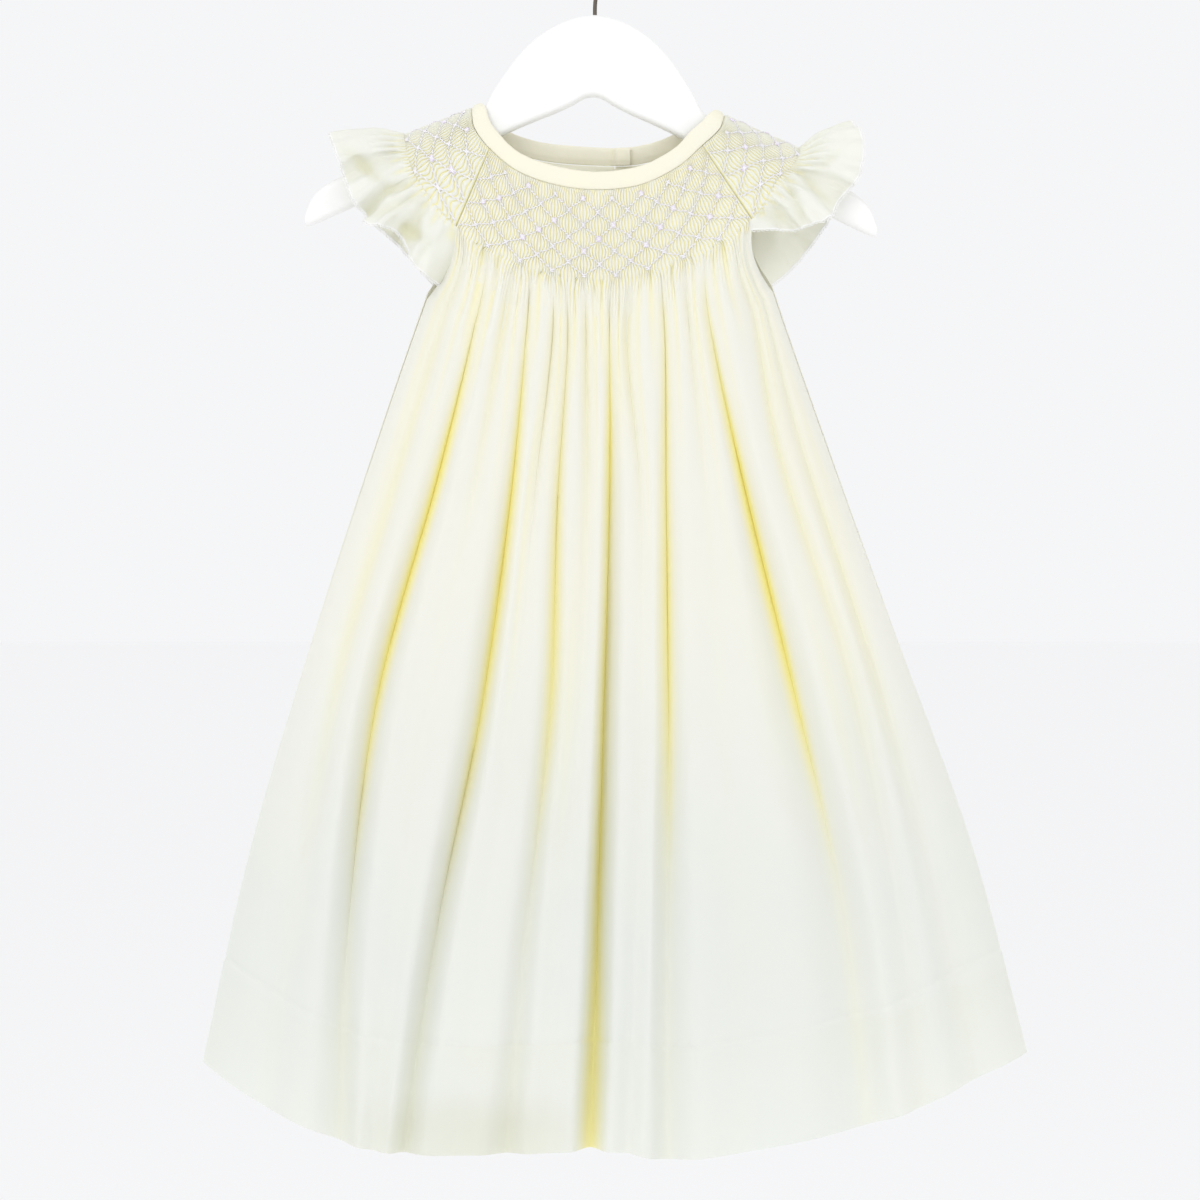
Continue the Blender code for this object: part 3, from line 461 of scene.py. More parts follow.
def normals(grid):
    """Outward directions of a grid whose rows run round the body and follow each other down it."""
    across = np.empty_like(grid)
    across[:, 1:-1] = grid[:, 2:] - grid[:, :-2]
    across[:, 0] = grid[:, 1] - grid[:, 0]
    across[:, -1] = grid[:, -1] - grid[:, -2]
    down = np.empty_like(grid)
    down[1:-1] = grid[2:] - grid[:-2]
    down[0] = grid[1] - grid[0]
    down[-1] = grid[-1] - grid[-2]
    outward = np.cross(down, across)
    return outward / np.maximum(np.linalg.norm(outward, axis=2, keepdims=True), 1e-12)


def wander(seed, *axes):
    """Slow uneven waves between -1 and 1 over any number of axes."""
    draw = np.random.default_rng(seed)
    total = 0
    for scale in (1.0, 2.1, 3.7):
        phase = draw.uniform(0, 2 * pi)
        for axis in axes:
            phase = phase + axis * scale * draw.uniform(0.8, 1.2)
        total = total + np.sin(phase) / scale
    return total / 1.7


# Meshes

def join_rows(points, first, second, faces):
    """Faces between two rows of point numbers, which may differ in count."""
    if len(first) == len(second):
        faces += np.column_stack([first[:-1], first[1:], second[1:], second[:-1]]).tolist()
        return
    i = 0
    j = 0
    while i < len(first) - 1 or j < len(second) - 1:
        along_first = i < len(first) - 1
        if along_first and j < len(second) - 1:
            reach_first = np.abs(points[first[i + 1]] - points[second[j]]).sum()
            reach_second = np.abs(points[second[j + 1]] - points[first[i]]).sum()
            along_first = reach_first <= reach_second
        if along_first:
            faces.append([int(first[i]), int(first[i + 1]), int(second[j])])
            i += 1
        else:
            faces.append([int(first[i]), int(second[j + 1]), int(second[j])])
            j += 1


def number_rows(rows, start):
    numbered = []
    for row in rows:
        numbered.append(np.arange(start, start + len(row)))
        start += len(row)
    return numbered, start


def finish_mesh(name, points, faces, material, marks=None, smooth_angle=60):
    data = bpy.data.meshes.new(name)
    data.from_pydata(points.tolist() if hasattr(points, "tolist") else points, [], faces)
    data.validate()
    if marks is not None:
        # The fold mark drives the painted glow and shade of the batiste.
        layer = data.attributes.new("fold", "FLOAT", "POINT")
        layer.data.foreach_set("value", np.asarray(marks, np.float32))
    data.materials.append(material)
    data.shade_smooth()
    if smooth_angle:
        data.set_sharp_from_angle(angle=radians(smooth_angle))
    piece = bpy.data.objects.new(name, data)
    bpy.context.scene.collection.objects.link(piece)
    return piece


def cloth(name, outer, inner, outer_marks, material, flip=False):
    """One closed sheet between an outer and an inner stack of rows."""
    outer_rows, count = number_rows(outer, 0)
    inner_rows, count = number_rows(inner, count)
    points = np.concatenate(list(outer) + list(inner))
    marks = np.concatenate([np.ravel(row) for row in outer_marks]
                           + [np.full(len(row), INSIDE_GLOW) for row in inner])
    outside = []
    for upper, lower in zip(outer_rows, outer_rows[1:]):
        join_rows(points, upper, lower, outside)
    inside = []
    for upper, lower in zip(inner_rows, inner_rows[1:]):
        join_rows(points, upper, lower, inside)
    join_rows(points, inner_rows[0], outer_rows[0], outside)
    join_rows(points, outer_rows[-1], inner_rows[-1], outside)
    left = [np.array([row[0] for row in rows]) for rows in (outer_rows, inner_rows)]
    right = [np.array([row[-1] for row in rows]) for rows in (outer_rows, inner_rows)]
    join_rows(points, left[0], left[1], outside)
    join_rows(points, right[1], right[0], outside)
    faces = [face[::-1] for face in outside] + inside
    return finish_mesh(name, points, faces, material, marks)


def tube(points, radius, sides=6, round_ends=True, flat=1.0, up=None):
    """Points and faces of a round thread along a path, with domed ends."""
    path = np.asarray(points, float)
    ahead = np.gradient(path, axis=0)
    ahead /= np.linalg.norm(ahead, axis=1, keepdims=True)
    lift = np.array([0.0, 0.0, 1.0]) if up is None else np.asarray(up, float)
    side = np.cross(ahead, lift)
    weak = np.linalg.norm(side, axis=1) < 1e-6
    side[weak] = (1.0, 0.0, 0.0)
    side /= np.linalg.norm(side, axis=1, keepdims=True)
    rise = np.cross(side, ahead)
    radii = np.broadcast_to(np.asarray(radius, float), (len(path),)).copy()
    turn = 2 * pi * np.arange(sides) / sides
    loops = (path[:, None] + side[:, None] * (np.cos(turn)[None, :, None] * radii[:, None, None])
             + rise[:, None] * (np.sin(turn)[None, :, None] * radii[:, None, None] * flat))
    verts = loops.reshape(-1, 3)
    faces = []
    for ring in range(len(path) - 1):
        one = ring * sides
        for corner in range(sides):
            after = (corner + 1) % sides
            faces.append([one + corner, one + after, one + sides + after, one + sides + corner])
    tip_a = path[0] - ahead[0] * radii[0] * 0.7 * round_ends
    tip_b = path[-1] + ahead[-1] * radii[-1] * 0.7 * round_ends
    verts = np.vstack([verts, tip_a, tip_b])
    first = len(path) * sides
    last = (len(path) - 1) * sides
    for corner in range(sides):
        after = (corner + 1) % sides
        faces.append([first, after, corner])
        faces.append([first + 1, last + corner, last + after])
    return verts, faces


class Pile:
    """Many small closed shapes gathered into one mesh."""

    def __init__(self):
        self.points = []
        self.faces = []
        self.count = 0

    def add(self, verts, faces):
        self.points.append(verts)
        self.faces += [[corner + self.count for corner in face] for face in faces]
        self.count += len(verts)

    def build(self, name, material):
        return finish_mesh(name, np.concatenate(self.points), self.faces, material, smooth_angle=0)


# Shaders

class Value:
    """A socket of a material, so that sums and products of it add their own nodes."""

    def __init__(self, look, socket):
        self.look = look
        self.socket = socket

    def math(self, operation, first, second):
        return self.look.add("ShaderNodeMath", {"operation": operation}, {0: first, 1: second})

    def __add__(self, other):
        return self.math("ADD", self, other)

    def __radd__(self, other):
        return self.math("ADD", other, self)

    def __sub__(self, other):
        return self.math("SUBTRACT", self, other)

    def __rsub__(self, other):
        return self.math("SUBTRACT", other, self)

    def __mul__(self, other):
        return self.math("MULTIPLY", self, other)

    def __rmul__(self, other):
        return self.math("MULTIPLY", other, self)

    def __pow__(self, other):
        return self.math("POWER", self, other)


class Look:
    """A material under construction around its Principled shader."""

    def __init__(self, name):
        self.material = bpy.data.materials.new(name)
        self.material.use_nodes = True
        self.tree = self.material.node_tree
        self.shader = self.tree.nodes["Principled BSDF"]

    def feed(self, socket, value):
        if isinstance(value, Value):
            self.tree.links.new(value.socket, socket)
        else:
            socket.default_value = value

    def add(self, kind, settings=None, inputs=None, output=0):
        node = self.tree.nodes.new(kind)
        for key, value in (settings or {}).items():
            setattr(node, key, value)
        for key, value in (inputs or {}).items():
            self.feed(node.inputs[key], value)
        return Value(self, node.outputs[output])

    def set(self, **inputs):
        for key, value in inputs.items():
            self.feed(self.shader.inputs[key.replace("_", " ")], value)
        return self

    def place(self, scale=(1.0, 1.0, 1.0)):
        here = self.add("ShaderNodeTexCoord", output="Object")
        return self.add("ShaderNodeVectorMath", {"operation": "MULTIPLY"}, {0: here, 1: scale})

    def noise(self, scale, detail=3.0, stretch=(1.0, 1.0, 1.0)):
        return self.add("ShaderNodeTexNoise", None,
                        {"Vector": self.place(stretch), "Scale": scale, "Detail": detail})

    def mix(self, share, first, second):
        node = self.tree.nodes.new("ShaderNodeMix")
        node.data_type = "RGBA"
        self.feed(node.inputs[0], share)
        self.feed(node.inputs[6], first if isinstance(first, Value) else (*first, 1.0))
        self.feed(node.inputs[7], second if isinstance(second, Value) else (*second, 1.0))
        return Value(self, node.outputs[2])

    def mark(self, name):
        return self.add("ShaderNodeAttribute", {"attribute_name": name}, output="Fac")

    def ramp(self, value, low, high):
        return self.add("ShaderNodeMapRange", {"interpolation_type": "SMOOTHSTEP"},
                        {"Value": value, "From Min": low, "From Max": high})

    def bump(self, height, distance, strength=1.0):
        return self.add("ShaderNodeBump", None,
                        {"Height": height, "Distance": distance, "Strength": strength})

    def see_through_light(self, colour, share):
        """Lets some of the light behind the cloth glow through it."""
        glow = self.tree.nodes.new("ShaderNodeBsdfTranslucent")
        glow.inputs["Color"].default_value = (*colour, 1.0)
        blend = self.tree.nodes.new("ShaderNodeMixShader")
        blend.inputs[0].default_value = share
        self.tree.links.new(self.shader.outputs[0], blend.inputs[1])
        self.tree.links.new(glow.outputs[0], blend.inputs[2])
        out = self.tree.nodes["Material Output"]
        self.tree.links.new(blend.outputs[0], out.inputs["Surface"])
        return self


def weave(look, pitch):
    """The fine over-and-under of plain-woven cotton."""
    turns = 1.0 / pitch
    rows = look.add("ShaderNodeTexWave", {"wave_type": "BANDS", "bands_direction": "Z"},
                    {"Vector": look.place(), "Scale": turns / 3.2, "Distortion": 1.2, "Detail": 2.0})
    lines = look.add("ShaderNodeTexWave", {"wave_type": "BANDS", "bands_direction": "X"},
                     {"Vector": look.place(), "Scale": turns / 3.2, "Distortion": 1.2, "Detail": 2.0})
    slub = look.noise(900.0, 2.0, (0.25, 1.0, 1.0))
    return rows * 0.35 + lines * 0.35 + slub * 0.6


def batiste(name, colours):
    look = Look(name)
    # The fold mark paints glow and shade into the valleys: their base colour turns towards the fold glow yellow.
    depth = look.ramp(look.mark("fold"), 0.0, 1.0)
    low = look.mark("low")
    plain = look.mix(low, colours.cloth, colours.cloth_low)
    plain = look.mix(look.mark("hem"), plain, look.mix(low, colours.hem, colours.cloth_low))
    plain = look.mix(look.noise(18.0, 2.0) * 0.25, plain, (0.93, 0.93, 0.80))
    # Painted shade: grey green where the shade mark lies.
    plain = look.mix(look.mark("shade"), plain, colours.shade)
    tone = look.mix(depth, plain, colours.fold_glow)
    look.set(Base_Color=tone, Roughness=0.92, Normal=look.bump(weave(look, 0.0005), 0.00006, 0.5))
    # Painted glow: the valleys give off a little yellow light of their own, as if lit through the cloth.
    look.set(Emission_Color=look.mix(depth, (0.0, 0.0, 0.0), colours.fold_glow))
    look.shader.inputs["Emission Strength"].default_value = 0.16
    look.shader.inputs["Sheen Weight"].default_value = 0.08
    look.shader.inputs["Specular IOR Level"].default_value = 0.18
    return look.see_through_light(colours.cloth, 0.26).material


def plain_cotton(name, colour, warm):
    look = Look(name)
    cloud = look.noise(60.0, 3.0)
    creases = look.noise(140.0, 2.0)
    look.set(Base_Color=look.mix(cloud * 0.5, colour, warm), Roughness=0.9,
             Normal=look.bump(weave(look, 0.0005) + creases * 3, 0.00012, 0.6))
    look.shader.inputs["Sheen Weight"].default_value = 0.1
    look.shader.inputs["Specular IOR Level"].default_value = 0.2
    return look.material


def thread_look(name, colour, shade):
    look = Look(name)
    twist = look.add("ShaderNodeTexWave", {"wave_type": "BANDS", "bands_direction": "DIAGONAL"},
                     {"Vector": look.place(), "Scale": 900.0, "Distortion": 1.0})
    look.set(Base_Color=look.mix(twist * 0.4, colour, shade), Roughness=0.55,
             Normal=look.bump(twist, 0.00005, 0.6))
    look.shader.inputs["Sheen Weight"].default_value = 0.15
    return look.material


def painted_wood(name, colour):
    look = Look(name)
    grain = look.noise(14.0, 5.0, (1.0, 1.0, 9.0))
    brush = look.noise(60.0, 4.0, (1.0, 1.0, 14.0))
    wear = look.ramp(look.noise(35.0, 4.0), 0.62, 0.78)
    tone = look.mix(grain * 0.12, colour, (0.86, 0.85, 0.82))
    look.set(Base_Color=look.mix(wear * 0.25, tone, (0.82, 0.80, 0.76)),
             Roughness=brush * 0.2 + 0.38, Normal=look.bump(brush + grain, 0.0002, 0.25))
    look.shader.inputs["Coat Weight"].default_value = 0.15
    return look.material


def dark_wire(name, colour):
    look = Look(name)
    pits = look.noise(260.0, 4.0)
    look.set(Base_Color=look.mix(pits * 0.6, colour, (0.20, 0.17, 0.14)),
             Roughness=pits * 0.3 + 0.25, Normal=look.bump(pits, 0.00008, 0.4))
    look.shader.inputs["Metallic"].default_value = 1.0
    return look.material


def pearl(name):
    look = Look(name)
    swirl = look.noise(220.0, 3.0)
    look.set(Base_Color=look.mix(swirl, (0.93, 0.92, 0.88), (0.82, 0.84, 0.86)), Roughness=swirl * 0.15 + 0.18)
    look.shader.inputs["Coat Weight"].default_value = 0.5
    return look.material


MATERIALS = {}


def material_of(key, make):
    if key not in MATERIALS:
        MATERIALS[key] = make()
    return MATERIALS[key]


def cloth_material(colours):
    return material_of("batiste", lambda: batiste("yellow_batiste", colours))


# The cloth's own shapes

# Painted glow on the inner faces of the cloth: a little of the fold yellow and its emission.
INSIDE_GLOW = 0.18
PLEAT_POINTS = 6
YOKE_STEPS = 34
LINING_STEPS = 8
COARSE = 3
DRAW_IN = 0.80
BINDING_LAP = 0.42
BINDING_TUCK = 0.0027
SKIRT_TOP_Z = -0.185
# Strength of the painted glow and shade in the valleys between smocked pleats.
PLEAT_GLOW = 0.72
OPENING_ROWS = (0.004, 0.008, 0.0125, 0.0175, 0.023, 0.029, 0.036, 0.044, 0.053, 0.063, 0.075)


def pleat_of(stations, start, end, pleats):
    return (stations - start) / (end - start) * pleats


def squeeze(pleat, downs):
    """How far the stitches draw each pleat sideways, in pleats, towards the crossings."""
    rows = np.asarray(TRELLIS_ROWS)
    row = np.interp(downs, rows, np.arange(len(rows)))
    hold = smooth(downs / rows[0]) * (1 - smooth((downs - rows[-1]) / 0.16))
    return -DRAW_IN * np.sin(2 * pi * pleat / DIAMOND_PLEATS) * np.cos(pi * row) * hold


def trellis_nearness(pleat, downs):
    """One on the lines of stitches, none away from them."""
    wave = np.abs(np.mod(pleat / (DIAMOND_PLEATS / 2), 2.0) - 1.0)
    rows = np.asarray(TRELLIS_ROWS)
    near = np.zeros((len(downs), len(pleat)))
    for band in range(len(rows) - 1):
        share = wave if band % 2 else 1 - wave
        line = rows[band] + (rows[band + 1] - rows[band]) * share
        near = np.maximum(near, np.exp(-((downs[:, None] - line[None]) / 0.022) ** 2))
    return near


def pleated(start, end, pleats, offset, height, fade=None):
    """Rows of a smocked stretch with round pleats, and how deep each point lies between them, which sets the
    painted glow and shade there.
    """
    stations = np.linspace(start, end, pleats * PLEAT_POINTS + 1)
    downs = np.linspace(0.0, 1.0, YOKE_STEPS)
    pleat = pleat_of(stations, start, end, pleats)
    edge = np.minimum(pleat, pleats - pleat)
    pitch = (end - start) / pleats
    sway = 0.10 * wander(5, pleat[None] * 0.9, downs[:, None] * 9.0)
    moved = (squeeze(pleat[None] + offset, downs[:, None]) + sway) * smooth(edge / 2.0)[None]
    grid = yoke(stations[None] + moved * pitch, downs[:, None])
    ridge = np.abs(np.sin(pi * pleat))[None] ** 0.75 * smooth(edge / 0.5 + 0.2)[None]
    pull = 1 - 0.30 * trellis_nearness(pleat + offset, downs)
    swell = 1 + 0.18 * wander(9, pleat[None] * 0.35, downs[:, None] * 6.0)
    rise = height * ridge * pull * swell * smooth(downs / 0.05 + 0.35)[:, None]
    surface = grid + normals(grid) * (rise - 0.0002)[..., None]
    mark = np.clip(1.0 - ridge * 1.15, 0.0, 1.0) * PLEAT_GLOW * np.ones((len(downs), 1))
    return list(surface), list(mark)


def lining(start, end, pleats, thickness):
    stations = np.linspace(start, end, pleats * 2 + 1)
    grid = yoke(stations[None], np.linspace(0.0, 1.0, LINING_STEPS)[:, None])
    return list(grid - normals(grid) * (thickness + 0.0002))


def crease_depth(creases, at, down):
    total = np.zeros((len(down), len(at)))
    for place, start, end, drift, width, depth in creases:
        along = np.clip((down - start) / (end - start), 0.0, 1.0)
        if start == 0.0:
            strength = (1 - along) ** 0.8
        else:
            strength = np.sin(pi * along) ** 1.2
        strength = np.where((down >= start) & (down <= end), strength, 0.0)
        centre = place + drift * along
        total += (depth * MM * strength[:, None]
                  * np.exp(-((at[None] - centre[:, None]) / width) ** 2))
    return total


def skirt(folds, creases, side, fullness, at, down):
    """A grid of the skirt and a mark of how deep each point lies in its folds, which sets the painted glow and
    shade there. side is -1 on the front.
    """
    table = np.array(folds, float)
    last = len(folds) - 1
    base = ring_point(BASE, between(table[:, 0], at))
    across = np.column_stack([base[:, 0], between(table[:, X_COLUMNS], at) * MM]).T
    x = at_height(HEIGHTS, across, down)
    z = base[None, :, 2] + (between(table[:, HEM_Z], at) * MM - base[:, 2])[None] * down[:, None]
    edges = []
    for end in (0, last):
        end_base = ring_point(BASE, np.array([table[end, 0]]))[0, 0]
        edge = np.concatenate([[end_base], table[end, X_COLUMNS] * MM])[:, None]
        edges.append(at_height(HEIGHTS, edge, down))
    spread = (x - edges[0]) / (edges[1] - edges[0])
    arm = np.minimum(down / ARMHOLE_SHARE, 1.0)[:, None]
    hollow = ARMHOLE_HOLLOW * np.sin(pi * arm) * np.abs(2 * spread - 1) ** 6
    x = x - np.sign(x) * hollow
    edge_y = base[None, :, 1] + (side * SIDE_SEAM_Y - base[None, :, 1]) * smooth(arm)
    envelope = np.maximum(1 - np.abs(2 * spread - 1) ** ENVELOPE_POWER, 0.0) ** ENVELOPE_EASE
    full = side * at_height(DEPTH_HEIGHTS, np.array(fullness)[:, None], down)
    start_y = base[None, :, 1] + (full - base[None, :, 1]) * smooth(down / DEPTH_HEIGHTS[1])[:, None]
    y = edge_y + (start_y - edge_y) * envelope

    index = np.clip(np.floor(at).astype(int), 0, last - 1)
    share = np.clip(at - index, 0.0, 1.0)
    nearest = np.where(share < 0.5, index, index + 1)
    deep = np.vstack([np.zeros(len(at)), table[nearest, DEPTHS].T])
    depth = at_height(DEPTH_HEIGHTS, deep, down) * MM
    power = at_height(DEPTH_HEIGHTS, np.array(RIDGE_POWERS)[:, None], down)
    ridge = np.maximum(np.sin(pi * share), 0.0)[None] ** power
    valley = np.minimum(depth * (1 - ridge), 0.8 * np.abs(y))
    roll = between(table[:, ROLL], at)[None] * MM * smooth((down - 1 + ROLL_SHARE) / ROLL_SHARE)[:, None]

    lean = table[nearest, LEAN] * MM
    beside = np.where(share < 0.5, share, 1 - share)
    leaning = np.where(share < 0.5, lean > 0, lean < 0)
    over = beside / 0.09 * np.exp(1 - beside / 0.09) * leaning * lean
    strength = at_height(DEPTH_HEIGHTS, np.array([0.0, 0.5, 0.9, 0.0])[:, None], down)
    x = x - over[None] * strength
    y = y - side * (valley + roll)

    grid = np.stack([x, y, z], axis=2)
    if not creases:
        return grid, None
    small = crease_depth(creases, at, down)
    uneven = wander(3, at[None] * 1.3, down[:, None] * 7.0) * 0.0005
    calm = smooth(np.minimum(spread, 1 - spread) / 0.04)
    grid = grid + normals(grid) * ((uneven - small) * calm)[..., None]
    # The fold mark: painted glow and shade along the valleys and creases, fading down the skirt except in the
    # deepest folds.
    distance = beside[None] * np.abs(np.gradient(x, at, axis=1))
    band = np.exp(-(distance / (0.0036 + 0.0024 * down[:, None])) ** 1.8)
    mark = np.clip(depth / 0.012, 0.0, 1.0) * band + small / 0.0032
    lasting = np.clip((deep[-1] - 11) / 6, 0.0, 1.0)[None]
    mark = mark * (1 - (0.8 - 0.5 * lasting) * smooth((down - 0.36) / 0.42)[:, None])
    return grid, np.clip(mark, 0.0, 1.0)


def fold_at(folds, folds_range, stations):
    """The place across the folds that hangs from each station, out to both edges of the piece."""
    fine = np.linspace(folds_range[0], folds_range[1], 1500)
    at = np.interp(stations, between(np.array(folds)[:, 0], fine), fine)
    return folds_range[0] + (at - at[0]) / (at[-1] - at[0]) * (folds_range[1] - folds_range[0])


def released(folds, creases, side, fullness, at, pleat, pleats, offset, height):
    """The first rows under the smocking, where the pleats open out into gathers."""
    downs = np.array(OPENING_ROWS)
    grid, mark = skirt(folds, creases, side, fullness, at, downs)
    edge = np.minimum(pleat, pleats - pleat)
    drawn = squeeze(pleat[None] + offset, 1 + downs[:, None] * 8) * smooth(edge / 2.0)[None]
    pitch = np.gradient(grid, axis=1) * PLEAT_POINTS
    grid = grid + pitch * drawn[..., None]
    ridge = np.abs(np.sin(pi * pleat)) ** 0.75
    reach = 0.045 + 0.03 * wander(41, pleat * 0.31)
    fade = 1 - smooth(downs[:, None] / reach[None])
    pairs = np.sin(pi * pleat / 3.0 + 1.2 * np.sin(pleat * 0.37))[None]
    gather = 0.0007 * pairs * smooth(downs / 0.012)[:, None] * (1 - smooth(downs / OPENING_ROWS[-1]))[:, None]
    rise = (height * ridge[None] * fade + gather) * smooth(edge / 0.5 + 0.2)[None]
    grid = grid + normals(grid) * rise[..., None]
    # Painted glow and shade in the pleat valleys, fading as the pleats open out.
    furrow_glow = np.clip(1.0 - ridge * 1.15, 0, 1)[None] * fade * PLEAT_GLOW
    return grid, np.maximum(mark, furrow_glow)


def hem_step(down, at):
    """The outer bulge of the doubled hem and its line of stitches."""
    over = smooth((down - HEM_LINE) / 0.006)
    pucker = 0.5 + 0.5 * np.sin(at * 34.0)[None] * np.sin(at * 5.3 + 1.0)[None]
    line = np.exp(-((down - HEM_LINE) / 0.0035) ** 2)
    return (over * 0.00030)[:, None] - line[:, None] * 0.00035 * (0.5 + pucker)


def add_marks(piece, **marks):
    """Stores further numbers on the points, one for each kind of tone or painted shade."""
    for name, values in marks.items():
        layer = piece.data.attributes.new(name, "FLOAT", "POINT")
        spread = np.broadcast_to(values, len(piece.data.vertices)).astype(np.float32)
        layer.data.foreach_set("value", spread)


def places_of(piece):
    places = np.empty(len(piece.data.vertices) * 3)
    piece.data.vertices.foreach_get("co", places)
    return places.reshape(-1, 3)


def skirt_marks(piece, folds):
    """Marks the cool lower skirt, the doubled hem and painted shade where the hem rolls back."""
    table = np.array(folds, float)
    at = np.linspace(0, len(folds) - 1, 200)
    hem_x = between(table[:, 5], at) * MM
    order = np.argsort(hem_x)
    x, _, z = places_of(piece).T
    hem_z = np.interp(x, hem_x[order], between(table[:, HEM_Z], at)[order] * MM)
    roll = np.interp(x, hem_x[order], between(table[:, ROLL], at)[order])
    down = (SKIRT_TOP_Z - z) / (SKIRT_TOP_Z - hem_z)
    hem = smooth((down - HEM_LINE + 0.003) / 0.006) * (1 - 0.75 * smooth((down - HEM_LINE) / 0.09))
    low = smooth((down - 0.30) / 0.45) * (0.85 + 0.15 * wander(51, x * 30, z * 12))
    # Painted shade where the hem rolls back under.
    shade = smooth((down - 0.93 + 0.02 * wander(52, x * 25)) / 0.05) * np.clip(roll / 9.0, 0, 1) * 0.55
    add_marks(piece, hem=hem, low=low, shade=shade)


def panel(name, folds, creases, side, fullness, span, pleats, offset, folds_range, steps, sizes, material):
    """One cut piece from the neck seam through its smocking to the hem."""
    start, end = span
    stations = np.linspace(start, end, pleats * PLEAT_POINTS + 1)
    pleat = pleat_of(stations, start, end, pleats)
    fine_at = fold_at(folds, folds_range, stations)
    at = fine_at[::COARSE]
    height = sizes.pleat_height
    thickness = sizes.cloth_thickness
    outer, marks = pleated(start, end, pleats, offset, height)
    inner = lining(start, end, pleats, thickness)
    fine, fine_mark = released(folds, creases, side, fullness, fine_at, pleat, pleats, offset, height)
    outer += list(fine)
    marks += list(fine_mark)
    down = np.concatenate([np.linspace(0.085, 0.30, steps // 3, endpoint=False),
                           np.linspace(0.30, HEM_LINE - 0.008, steps // 2, endpoint=False),
                           HEM_LINE + np.array([-0.008, -0.004, -0.002, 0.0, 0.002, 0.004, 0.008]),
                           np.linspace(HEM_LINE + 0.016, 1.0, max(steps // 8, 5))])
    grid, mark = skirt(folds, creases, side, fullness, at, down)
    if folds_range[0] > 0:
        grid[:, 0] += np.array([-0.00015, 0, 0])
    elif folds_range[1] < len(folds) - 1:
        grid[:, -1] += np.array([0.00015, 0, 0])
    outward = normals(grid)
    outer += list(grid + outward * (thickness / 2 + hem_step(down, at))[..., None])
    marks += list(mark)
    upper = skirt(folds, creases, side, fullness, at, np.array([0.012, 0.030, 0.048, 0.066]))[0]
    inner += list(upper - normals(upper) * (thickness / 2))
    inner += list(grid - outward * (thickness / 2 + 0.0004 * smooth((down - HEM_LINE) / 0.006))[:, None, None])
    for stack in (outer, inner):
        for row in stack[YOKE_STEPS if stack is outer else LINING_STEPS:]:
            row[:, 1] = side * np.maximum(side * row[:, 1], 0.0002)
    piece = cloth(name, outer, inner, marks, material)
    skirt_marks(piece, folds)
    return piece


def hold(piece, slot, *nodes):
    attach(piece, "root")
    if nodes:
        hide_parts(*nodes)
    return piece


def flutter(spokes, at, out):
    """A grid of a flutter sleeve: rows run from the yoke out to the free edge."""
    table = np.array(spokes, float)
    base = ring_point(BASE, between(table[:, 0], at))
    edge = between(table[:, 1:4], at) * MM
    grid = base[None] + (edge - base)[None] * out[:, None, None]
    share = at / (len(spokes) - 1)
    grid[..., 2] += FLUTTER_PUFF * np.sin(pi * out)[:, None] * np.sin(pi * share)[None]
    for end in (0, len(spokes) - 1):
        station, _, _, edge_z = spokes[end]
        if station in (FRONT_FOLDS[0][0], FRONT_FOLDS[-1][0]):
            folds, side, fullness = FRONT_FOLDS, -1, FRONT_FULLNESS
        else:
            folds, side, fullness = BACK_FOLDS, 1, BACK_FULLNESS
            station += 0 if station >= folds[0][0] else RING_COUNT
        spot = 0.0 if station == folds[0][0] else len(folds) - 1.0
        corner_z = ring_point(BASE, np.array([station]))[0, 2]
        hem_z = folds[int(spot)][HEM_Z] * MM
        tip = (corner_z - edge_z * MM) / (corner_z - hem_z)
        seam = skirt(folds, (), side, fullness, np.array([spot]), np.maximum(out * tip, 1e-5))[0][:, 0]
        seam[:, 0] -= np.sign(seam[:, 0]) * SLEEVE_LAP
        seam[:, 1] += side * SLEEVE_LAP_RISE
        beside = np.clip(1 - np.abs(at - end), 0.0, 1.0)[None, :, None]
        grid = grid + (seam[:, None] - grid) * beside
    return grid


def line_creases(grid, creases):
    """Depth of straight creases that are placed by their ends, in mm across and up."""
    total = np.zeros(grid.shape[:2])
    for x0, z0, x1, z1, width, depth in creases:
        start = np.array([x0, z0]) * MM
        run = np.array([x1, z1]) * MM - start
        here = grid[..., (0, 2)] - start
        along = np.clip((here @ run) / (run @ run), 0.0, 1.0)
        away = np.linalg.norm(here - along[..., None] * run, axis=2)
        total += depth * MM * (0.35 + 0.65 * np.sin(pi * along)) * np.exp(-(away / (width * MM)) ** 2)
    return total


